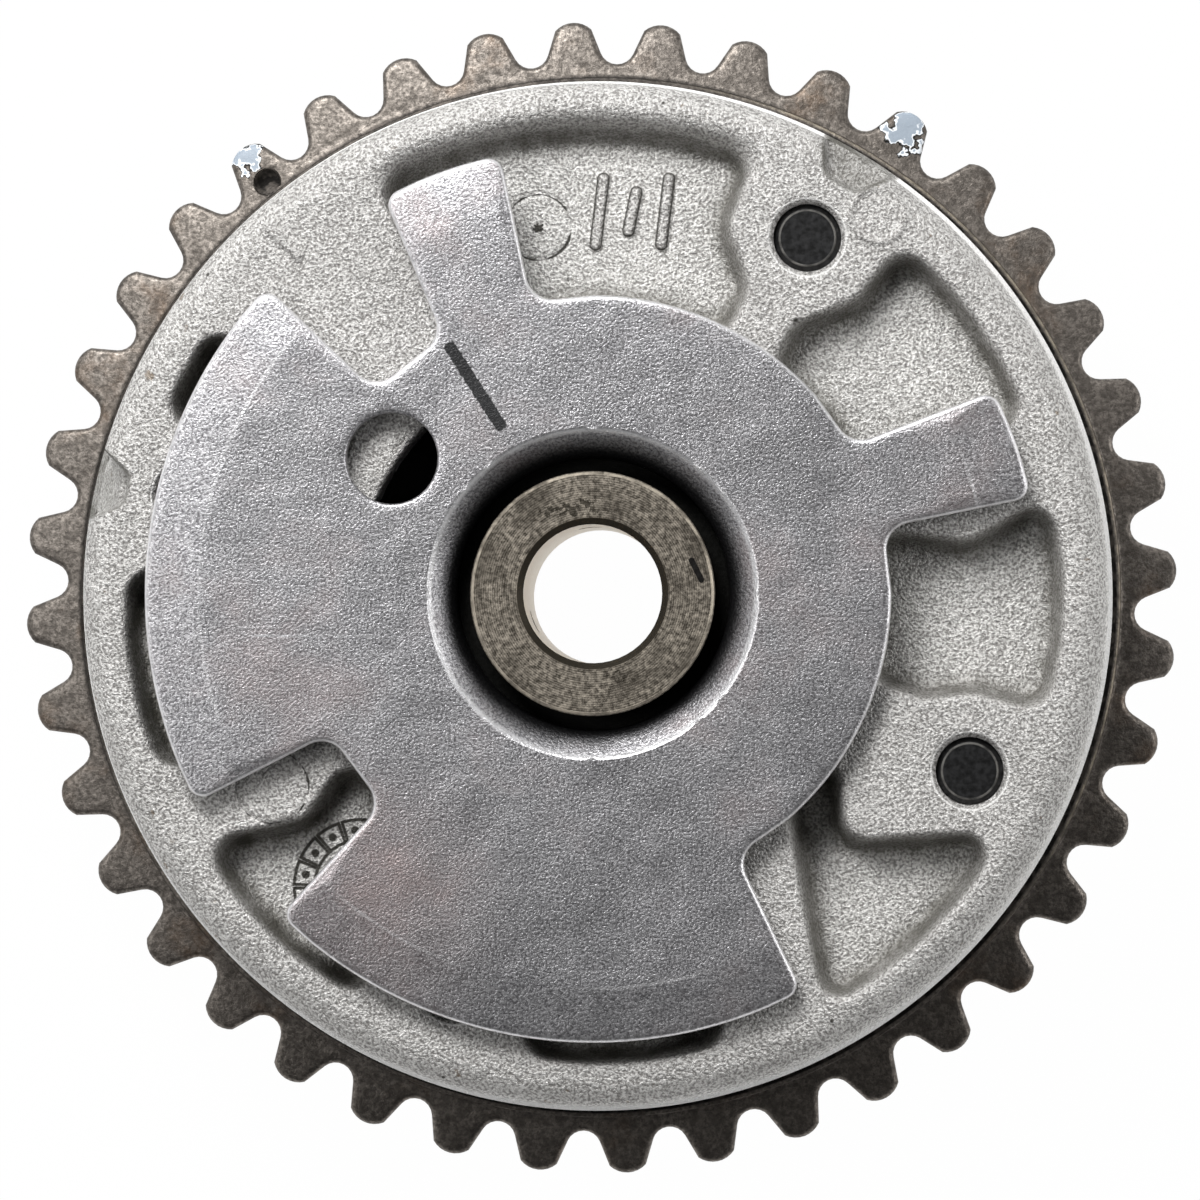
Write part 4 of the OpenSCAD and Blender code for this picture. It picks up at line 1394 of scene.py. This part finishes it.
    def loose_points(self, rim: float) -> Points:
        """Plan points of the front: close together at pocket walls and marks, wide apart elsewhere.

        Args:
            rim: Plan radius of the rim.

        Returns:
            Plan points.
        """
        fine = hex_grid(rim, self.fine)
        radius = length_of(fine)
        fine = fine[(radius < rim - 0.15) & (radius > self.opening_r + self.opening_edge + 0.15)]
        close = np.zeros(len(fine), bool)
        for outline in self.pockets():
            depth = depth_inside(fine, outline)
            close |= (depth > -0.55) & (depth < 1.9)
        for outline in self.notches():
            depth = depth_inside(self.base(fine)[:, :2], outline)
            close |= (depth > -0.5) & (depth < 1.5)
        for mark in self.marks():
            close |= mark.near(fine)
        wide = hex_grid(rim, self.coarse)
        radius = length_of(wide)
        wide = wide[(radius < rim - 0.4) & (radius > self.opening_r + self.opening_edge + 0.4)]
        points = np.concatenate([fine[close], wide + 0.013])
        for spot in self.screws.spots():
            away = length_of(points - spot)
            points = points[away > self.screw_hole_r + self.hole_chamfer + 0.25]
        return points

    def build(self) -> bpy.types.Object:
        """Builds the casting: new front, wall and holes, with the CAD node's inner faces.

        Returns:
            The new piece.
        """
        draft = MeshDraft()
        flat = self.wall_r - self.draft - self.shoulder_r
        rim = flat + self.shoulder_r * math.pi / 2
        mouth = self.screw_hole_r + self.hole_chamfer + 0.06
        spots = self.screws.spots()
        loops = [
            circle(rim, self.rim_points), circle(self.opening_r + self.opening_edge, self.opening_points),
            *(circle(mouth, self.hole_points, s) for s in spots),
        ]

        def keep(middles: Points) -> np.ndarray:
            """Keeps the ring between the rim and the opening, without the screw holes.

            Args:
                middles: Middles of the triangles.

            Returns:
                True for each triangle that stays.
            """
            solid = length_of(middles) > self.opening_r + self.opening_edge
            for s in spots:
                solid &= length_of(middles - s) > mouth * 0.9995
            return solid

        found = draft.sheet(self.loose_points(rim), loops, keep, self.surface)
        knee, ledge = self.rear + self.foot_h, self.rear + self.foot_h + self.step_h
        outer, inner = circle(self.wall_r, self.rim_points), circle(self.wall_r - self.step, self.rim_points)
        draft.strip(draft.loop(outer, self.rear), draft.loop(outer, knee))
        draft.strip(draft.loop(outer, knee), draft.loop(inner, ledge))
        draft.strip(draft.loop(inner, ledge), found[0])
        bore = circle(self.opening_r, self.opening_points)
        edge = draft.loop(circle(self.opening_r + 0.1, self.opening_points), self.front - 0.15)
        lip = draft.loop(bore, self.front - self.opening_edge)
        end = draft.loop(bore, self.roof)
        draft.walls([found[1], edge, lip, end])
        for s, top in zip(spots, found[2:]):
            ring = circle(self.screw_hole_r + self.hole_chamfer, self.hole_points, s)
            bore = circle(self.screw_hole_r, self.hole_points, s)
            chamfer = draft.loop(ring, self.front - 0.05)
            start = draft.loop(bore, self.front - self.hole_chamfer)
            draft.walls([top, chamfer, start, draft.loop(bore, self.rear)])

        def inner_faces(corners: np.ndarray) -> np.ndarray:
            """Keeps the CAD faces below the roof, without the outer wall.

            Args:
                corners: Corners of the CAD's triangles.

            Returns:
                True for each triangle that stays.
            """
            outside = (length_of(corners[:, :, :2]) > self.wall_r - self.draft).all(1)
            wall = outside & (corners[:, :, 2] > self.rear + TOUCH).any(1)
            return (corners[:, :, 2] < self.roof + TOUCH).all(1) & ~wall

        draft.copy_node("housing", inner_faces)
        return draft.build("cast_housing", self.sharp_above, self.grime_and_painted_shade)

    def dress(self, piece: bpy.types.Object) -> None:
        """Gives the casting its finish and its place in the model.

        Args:
            piece: The built piece.
        """
        paint(piece, CastAluminium().material())
        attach(piece, Body.STATOR.value)
        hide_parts("housing")


# Chain sprocket


@dataclass
class Sprocket:
    """Chain sprocket with rounded tooth edges, front land and timing dimple."""

    pitch: float = 8.0
    teeth: int = 40
    phase: float = 2.75
    root_depth: float = 2.5
    tip_rise: float = 1.36
    seat_r: float = 1.6
    flank: float = 23.5
    crown_r: float = 2.3
    rim_rear: float = 5.4
    rim_front: float = 10.2
    bevel: float = 0.6
    land_r: float = 47.18
    land_top: float = 11.0
    edge_r: float = 0.5
    pilot_r: float = 14.0
    dimple_r: float = 1.2
    dimple_depth: float = 1.2
    dimple_tooth: int = 14
    fillet_r: float = 0.25
    sharp_above: float = 40.0
    land_points: int = 240
    pilot_points: int = 96
    dimple_points: int = 40
    grid_reach: float = 53.0
    grid_step: float = 0.9

    def radii(self) -> tuple[float, float]:
        """Root and tip radius."""
        pitch_r = self.pitch / (2 * math.sin(math.pi / self.teeth))
        return pitch_r - self.root_depth, pitch_r + self.tip_rise

    def outline(self, steps: int = 8) -> Points:
        """Outline of the teeth.

        Args:
            steps: Segments of each seat and each crown.

        Returns:
            Points of the outline, counter-clockwise.
        """
        root, tip = self.radii()
        half_pitch = 180.0 / self.teeth
        seat_half = 90 - self.flank
        turns = np.arange(steps + 1) / steps

        def seat(a: float) -> Points:
            """Roller seat at an angle."""
            return polar(root + self.seat_r, a) + polar(self.seat_r, a + 180 + seat_half * (1 - 2 * turns))

        start, way = seat(-half_pitch)[-1], polar(1.0, self.flank - half_pitch)
        crown = np.array([tip - self.crown_r, 0.0])
        along = (crown - start) @ way
        off = np.linalg.norm(crown - start - along * way)
        meet = start + way * (along + math.sqrt(max(0.0, self.crown_r**2 - off**2))) - crown
        half = abs(math.degrees(math.atan2(meet[1], meet[0])))
        points = []
        for i in range(self.teeth):
            a = self.phase + 2 * half_pitch * i
            points.append(seat(a - half_pitch))
            points.append(polar(tip - self.crown_r, a) + polar(self.crown_r, a - half + 2 * half * turns))
        return np.concatenate(points)

    def fall(self, plan: Points) -> np.ndarray:
        """How far the tooth bevel has dropped at each plan point."""
        root, tip = self.radii()
        return self.bevel * np.clip((length_of(plan) - root) / (tip + 1 - root), 0, 1)

    def edge_loops(self, draft: MeshDraft, outline: Points, way: int) -> list[np.ndarray]:
        """Loops of a rounded tooth edge, from the flank to just before the face.

        Args:
            draft: Mesh that takes the loops.
            outline: Outline of the teeth.
            way: 1 for the front edge and -1 for the rear edge.

        Returns:
            Indexes of the loops.
        """
        level = self.rim_front if way > 0 else self.rim_rear
        loops = []
        for depth, drop in edge_round(self.edge_r, (0.0, 22.0, 45.0, 68.0)):
            plan = inset(outline, depth)
            loops.append(draft.loop(plan, level - way * (self.fall(plan) + drop)))
        return loops

    def build(self) -> bpy.types.Object:
        """Builds the toothed rim and the land, with the CAD node's hub and holes.

        Returns:
            The new piece.
        """
        draft = MeshDraft()
        root, _ = self.radii()
        outline = self.outline()
        face = inset(outline, self.edge_r)
        dimple = polar(root, self.phase + 360.0 / self.teeth * self.dimple_tooth)
        base = circle(self.land_r + self.fillet_r, self.land_points)
        rim = circle(self.dimple_r + 0.12, self.dimple_points, dimple)
        grid = hex_grid(self.grid_reach, self.grid_step)
        away = length_of(grid)
        grid = grid[(away > self.land_r + 0.6) & (depth_inside(grid, face) > 0.35)]
        grid = grid[length_of(grid - dimple) > self.dimple_r + 0.5]

        def keep_front(middles: Points) -> np.ndarray:
            """Keeps the tooth face outside the land and the dimple.

            Args:
                middles: Middles of the triangles.

            Returns:
                True for each triangle that stays.
            """
            past_land = length_of(middles) > self.land_r + self.fillet_r * 0.99
            past_dimple = length_of(middles - dimple) > self.dimple_r + 0.11
            return is_inside(middles, face) & past_land & past_dimple

        def front(plan: Points) -> Points:
            """Front tooth face."""
            return np.column_stack([plan, self.rim_front - self.fall(plan)])

        found = draft.sheet(grid, [face, base, rim], keep_front, front)
        edges = self.edge_loops(draft, outline, 1)
        draft.walls([*edges, found[0]])
        ring = circle(self.dimple_r, self.dimple_points, dimple)
        lip = draft.loop(ring, self.rim_front - 0.15)
        floor = draft.loop(ring, self.rim_front - self.dimple_depth + 0.2)
        tip = circle(self.dimple_r * 0.3, self.dimple_points, dimple)
        deep = draft.loop(tip, self.rim_front - self.dimple_depth)
        draft.walls([found[2], lip, floor, deep])
        draft.faces.append(tuple(deep.tolist()))

        profile = (
            (0.06, self.rim_front + 0.08), (0.0, self.rim_front + self.fillet_r),
            (0.0, self.land_top - 0.2), (-0.06, self.land_top - 0.06),
        )
        rise = [draft.loop(circle(self.land_r + out, self.land_points), level) for out, level in profile]

        def keep_land(middles: Points) -> np.ndarray:
            """Keeps the land outside the pilot bore."""
            return length_of(middles) > self.pilot_r

        land = draft.sheet(
            np.empty((0, 2)),
            [circle(self.land_r - 0.2, self.land_points), circle(self.pilot_r, self.pilot_points)], keep_land,
            lambda plan: np.column_stack([plan, np.full(len(plan), self.land_top)]),
        )
        draft.walls([found[1], *rise, land[0]])

        def keep_rear(middles: Points) -> np.ndarray:
            """Keeps the rear tooth face outside the plate."""
            return is_inside(middles, face) & (length_of(middles) > self.land_r * 0.9999)

        back = draft.sheet(
            grid, [face, circle(self.land_r, self.land_points)], keep_rear,
            lambda plan: np.column_stack([plan, self.rim_rear + self.fall(plan)]), up=False,
        )
        hind = self.edge_loops(draft, outline, -1)
        draft.walls([back[0], *hind[::-1], edges[0]])

        def hub(corners: np.ndarray) -> np.ndarray:
            """Keeps the CAD faces inside the land, without the land itself."""
            inside = (length_of(corners[:, :, :2]) < self.land_r + 0.05).all(1)
            return inside & ~(corners[:, :, 2] > self.rim_front - 0.05).all(1)

        draft.copy_node("sprocket", hub)
        return draft.build("chain_sprocket", self.sharp_above)

    def dress(self, piece: bpy.types.Object) -> None:
        """Gives the sprocket its finish and its place in the model.

        Args:
            piece: The built piece.
        """
        paint(piece, SinteredSteel().material())
        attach(piece, Body.STATOR.value)
        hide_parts("sprocket")


# Trigger wheel


@dataclass
class TriggerWheel:
    """Pressed sheet wheel with rolled edges, a bend line in its lobes and a drawn collar."""

    wheel_r: float = 39.4
    body_r: float = 26.2
    sheet: float = 1.5
    top: float = 34.5
    crease_r: float = 34.6
    drop: float = 0.35
    collar_r: float = 12.0
    mouth_r: float = 14.35
    bend_r: float = 2.4
    collar_foot: float = 24.95
    gauge_r: float = 4.0
    gauge_circle_r: float = 21.25
    gauge_angle: float = 146.0
    corner_r: float = 1.4
    fillet_r: float = 2.3
    roll: float = 0.42
    gauge_roll: float = 0.3
    burr: float = 0.04
    sharp_above: float = 40.0
    collar_points: int = 128
    gauge_points: int = 72
    grid_reach: float = 41.0
    grid_step: float = 0.75
    mouth_depth: float = 2.2
    lobes: tuple[tuple[float, float, float, float], ...] = (
        (12.7, 12.3, 26.8, 29.8), (101.8, 101.9, 117.8, 120.3),
        (136.9, 136.7, 207.7, 208.1), (224.9, 225.8, 297.8, 298.9),
    )

    def outline(self) -> Points:
        """Outline of the wheel.

        Returns:
            Points of the outline, counter-clockwise.
        """
        corners: list[Corner] = []
        for i, (a, b, c, d) in enumerate(self.lobes):
            turn = 360.0 if i == len(self.lobes) - 1 else 0.0
            foot, lead = (self.body_r, a, self.fillet_r), (self.wheel_r, b, self.corner_r)
            trail, heel = (self.wheel_r, c, self.corner_r), (self.body_r, d, self.fillet_r)
            after = (self.body_r, self.lobes[(i + 1) % len(self.lobes)][0] + turn, self.fillet_r)
            corners += [foot, lead, *arc_between(lead, trail, LOBE_STEP), trail]
            corners += [heel, *arc_between(heel, after, LOBE_STEP)]
        return rounded(corners)

    def level(self, plan: Points) -> np.ndarray:
        """Height of the sheet's top, which slopes gently down past the bend line.

        Args:
            plan: Plan points.

        Returns:
            Heights in millimetres.
        """
        past = length_of(plan) - self.crease_r
        soft = np.where(np.abs(past) < 0.2, (past + 0.2) ** 2 / 0.8, np.maximum(past, 0))
        return self.top - self.drop * soft / (self.wheel_r - self.crease_r)

    def collar(self, draft: MeshDraft) -> list[np.ndarray]:
        """Adds the collar: down from its mouth, round its foot and up outside.

        Args:
            draft: Mesh that takes the loops.

        Returns:
            Indexes of the loops.
        """
        outer_r = self.collar_r + self.sheet
        profile = [(self.mouth_r, self.top - 0.06)]
        for share in np.linspace(0.1, 1.0, 8):
            turn = math.radians(42 + 48 * share)
            reach = (self.mouth_r - self.collar_r) * (1 - (1 - share) ** 1.35)
            profile.append((self.mouth_r - reach, self.top - self.mouth_depth * share / math.sin(turn)))
        profile += [
            (self.collar_r, self.collar_foot + 0.2), (self.collar_r + 0.2, self.collar_foot),
            (outer_r, self.collar_foot), (outer_r, self.top - self.bend_r),
        ]
        return [draft.loop(circle(radius, self.collar_points), level) for radius, level in profile]

    def build(self) -> bpy.types.Object:
        """Builds the sheet, its edges, the gauge hole and the collar.

        Returns:
            The new piece.
        """
        draft = MeshDraft()
        outline = self.outline()
        hole = polar(self.gauge_circle_r, self.gauge_angle)
        bend_x = self.collar_r + self.bend_r
        face, lip_r = inset(outline, self.roll), self.gauge_r + self.gauge_roll
        grid = hex_grid(self.grid_reach, self.grid_step)
        away = length_of(grid)
        grid = grid[(away > bend_x + 0.6) & (depth_inside(grid, face) > 0.25)]
        grid = grid[length_of(grid - hole) > lip_r + 0.3]

        def keep(middles: Points) -> np.ndarray:
            """Keeps the sheet without the gauge hole and the collar."""
            solid = is_inside(middles, face) & (length_of(middles) > bend_x * 0.999)
            return solid & (length_of(middles - hole) > lip_r * 0.999)

        def top(plan: Points) -> Points:
            """Top of the sheet."""
            return np.column_stack([plan, self.level(plan)])

        def under(plan: Points) -> Points:
            """Underside of the sheet."""
            return np.column_stack([plan, self.level(plan) - self.sheet])

        loops = [
            face, circle(bend_x, self.collar_points), circle(lip_r, self.gauge_points, hole),
            circle(bend_x + 0.3, self.collar_points),
        ]
        upper = draft.sheet(grid, loops, keep, top)
        lower = draft.sheet(grid, loops, keep, under, up=False)
        rolled = []
        for depth, drop in edge_round(self.roll, (0.0, 25.0, 48.0, 70.0)):
            plan = inset(outline, depth)
            rolled.append(draft.loop(plan, self.level(plan) - drop))
        burr = inset(outline, self.burr)
        foot = draft.loop(burr, self.level(burr) - self.sheet)
        draft.walls([lower[0], foot, *rolled, upper[0]])

        rings = []
        for depth, drop in edge_round(self.gauge_roll, (65.0, 35.0, 0.0)):
            ring = circle(self.gauge_r + depth, self.gauge_points, hole)
            rings.append(draft.loop(ring, self.level(ring) - drop))
        end = circle(self.gauge_r, self.gauge_points, hole)
        rings.append(draft.loop(end, self.level(end) - self.sheet))
        draft.walls([upper[2], *rings, lower[2]])

        draft.walls([upper[1], *self.collar(draft), lower[1]])

        def painted_edge_highlight(points: Points) -> np.ndarray:
            """Painted highlight along the sheet's upper edge and the collar's mouth.

            Args:
                points: Points of the mesh.

            Returns:
                Share of painted highlight at each.
            """
            edge = 1 - ease(0.12, 0.34, depth_inside(points[:, :2], outline))
            mouth = np.abs(length_of(points[:, :2]) - self.mouth_r)
            edge = np.maximum(edge, 1 - ease(0.05, 0.25, mouth))
            return edge * ease(self.top - 1.3, self.top - 0.9, points[:, 2])

        return draft.build("pressed_trigger_wheel", self.sharp_above, painted_edge_highlight)

    def dress(self, piece: bpy.types.Object) -> None:
        """Gives the wheel its finish and its place in the model.

        Args:
            piece: The built piece.
        """
        paint(piece, PressedSteel().material())
        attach(piece, Body.ROTOR.value)
        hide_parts("trigger_wheel")


# Pieces that keep their CAD shape


@dataclass
class InnerWorks:
    """Rotor, screws, seals, springs and lock pin: CAD nodes that get a finish each."""

    copies: int = 4
    sharp_above: float = 40.0

    def finishes(self) -> dict[str, bpy.types.Material]:
        """Finish of each node.

        Returns:
            Materials by node name.
        """
        plain = (BlackOxide(), GROUND_STEEL, SPRING_STEEL, SEAL_PLASTIC, SEAL_RUBBER)
        black, hard, spring, plastic, rubber = (finish.material() for finish in plain)
        found = {
            "rotor": TurnedSteel().material(), "housing_screws": black, "locating_pin": hard,
            "face_seal": rubber, "lock_pin_seat": hard, "lock_pin": hard, "lock_pin_cap": hard,
        }
        for i in range(1, self.copies + 1):
            found[f"vane_seal_{i}"] = found[f"shoe_seal_{i}"] = plastic
            found[f"vane_spring_{i}"] = found[f"shoe_spring_{i}"] = spring
        return found

    def coil_spring(self, material: bpy.types.Material) -> bpy.types.Object:
        """Builds the lock pin's spring from the CAD node's faces; it sits between the pin and its cap.

        Args:
            material: Finish of the spring.

        Returns:
            The new piece.
        """
        draft = MeshDraft()
        draft.copy_node("lock_pin_spring", lambda corners: np.ones(len(corners), bool))
        piece = draft.build("lock_coil_spring", self.sharp_above)
        paint(piece, material)
        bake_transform(piece)
        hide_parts("lock_pin_spring")
        return piece

    def dress(self) -> list[str]:
        """Gives each piece its finish.

        Returns:
            Names of the pieces.
        """
        found = self.finishes()
        for name, material in found.items():
            paint(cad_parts[name], material)
        return sorted([*found, self.coil_spring(found["vane_spring_1"]).name])


# Studio


@dataclass(frozen=True)
class Lamp:
    """Square soft box: its place and edge are in millimetres and its power is in watts."""

    name: str
    at: Corner
    size: float
    power: float


@dataclass
class Studio:
    """Pale floor, soft light and the camera of the photograph."""

    camera_at: Corner = (19.7, -8.6, 710.2)
    aim: Corner = (-0.02, -0.275, 10.2)
    lens: float = 231.36
    sensor: float = 36.0
    clip: Spot = (0.01, 10.0)
    floor_half: float = 1500.0
    floor_colour: Colour = (0.85, 0.85, 0.85)
    white: float = 0.99
    tent: Colour = (0.98, 0.99, 1.0)
    sky: Spot = (0.9, 0.04)
    bright_side: Corner = (-0.38, 0.92, 0.0)
    dim: float = 0.3
    lamp_aim: Corner = (0.0, 0.0, 20.0)
    lamps: tuple[Lamp, ...] = (
        Lamp("key", (-110.0, 265.0, 320.0), 180.0, 1.95),
        Lamp("left", (-290.0, 10.0, 390.0), 150.0, 0.4),
        Lamp("right", (380.0, 60.0, 230.0), 200.0, 0.5),
    )

    def camera(self) -> None:
        """Puts the camera above the part, with +Y up in the image."""
        data = bpy.data.cameras.new("camera")
        data.lens, data.sensor_width = self.lens, self.sensor
        data.clip_start, data.clip_end = self.clip
        camera = bpy.data.objects.new("camera", data)
        place = Vector(self.camera_at)
        ahead = (Vector(self.aim) - place).normalized()
        right = ahead.cross(Vector((0, 1, 0))).normalized()
        turn = Matrix((right, right.cross(ahead), -ahead)).transposed()
        camera.matrix_world = Matrix.Translation(place * MM) @ turn.to_4x4()
        bpy.context.scene.collection.objects.link(camera)
        bpy.context.scene.camera = camera

    def floor(self) -> None:
        """Lays the floor, nearly white to the eye and with the part's shadow on it."""
        half = self.floor_half * MM
        mesh = bpy.data.meshes.new("floor")
        corners = [(-half, -half, 0), (half, -half, 0), (half, half, 0), (-half, half, 0)]
        mesh.from_pydata(corners, [], [(0, 1, 2, 3)])
        floor = bpy.data.objects.new("floor", mesh)
        bpy.context.scene.collection.objects.link(floor)
        material = bpy.data.materials.new("floor")
        material.use_nodes = True
        wires = Wiring(material.node_tree)
        rays = wires.node("ShaderNodeLightPath").outputs
        seen = wires.most(rays["Is Glossy Ray"], rays["Is Transmission Ray"])
        seen = wires.times(wires.most(seen, rays["Is Camera Ray"]), self.white)
        mixed = wires.node("ShaderNodeMixShader", Fac=seen)
        wires.feed(mixed.inputs[1], wires.node("ShaderNodeBsdfDiffuse", Color=self.floor_colour).outputs[0])
        wires.feed(mixed.inputs[2], wires.node("ShaderNodeEmission", Color=(1, 1, 1)).outputs[0])
        wires.node("ShaderNodeOutputMaterial", Surface=mixed.outputs[0])
        mesh.materials.append(material)

    def light(self, lamp: Lamp) -> None:
        """Hangs one soft box that faces the part.

        Args:
            lamp: The soft box.
        """
        data = bpy.data.lights.new(lamp.name, "AREA")
        data.size, data.energy = lamp.size * MM, lamp.power
        box = bpy.data.objects.new(lamp.name, data)
        place = Vector(lamp.at) * MM
        box.location = place
        box.rotation_euler = (Vector(self.lamp_aim) * MM - place).to_track_quat("-Z", "Y").to_euler()
        bpy.context.scene.collection.objects.link(box)

    def world(self) -> None:
        """Sets the light round the part: a pale tent, dimmer on one side, and a dark ceiling."""
        world = bpy.data.worlds.new("studio")
        world.use_nodes = True
        wires = Wiring(world.node_tree)
        way = wires.node("ShaderNodeTexCoord").outputs["Generated"]
        level = wires.node("ShaderNodeSeparateXYZ", Vector=way).outputs["Z"]
        side = wires.rise(wires.vector("DOT_PRODUCT", way, self.bright_side), -0.7, 0.5, self.dim, 1.0)
        side = wires.most(side, wires.rise(level, 0.22, 0.08))
        strength = wires.times(wires.rise(level, 0.15, 0.8, *self.sky), side)
        tent = wires.node("ShaderNodeBackground", Color=self.tent, Strength=strength)
        wires.node("ShaderNodeOutputWorld", Surface=tent.outputs[0])
        bpy.context.scene.world = world

    def build(self) -> None:
        """Builds the whole studio."""
        self.camera()
        self.floor()
        self.world()
        for lamp in self.lamps:
            self.light(lamp)
        bpy.context.scene.view_settings.view_transform = "Standard"


def main() -> None:
    """Builds and dresses every piece in order."""
    logging.basicConfig(level=logging.INFO, format="%(message)s")
    for part in (Sprocket(), Housing(), TriggerWheel()):
        piece = part.build()
        part.dress(piece)
        log.info("%s dressed", piece.name)
    for name in InnerWorks().dress():
        log.info("%s dressed", name)
    Studio().build()


if __name__ == "__main__":
    main()
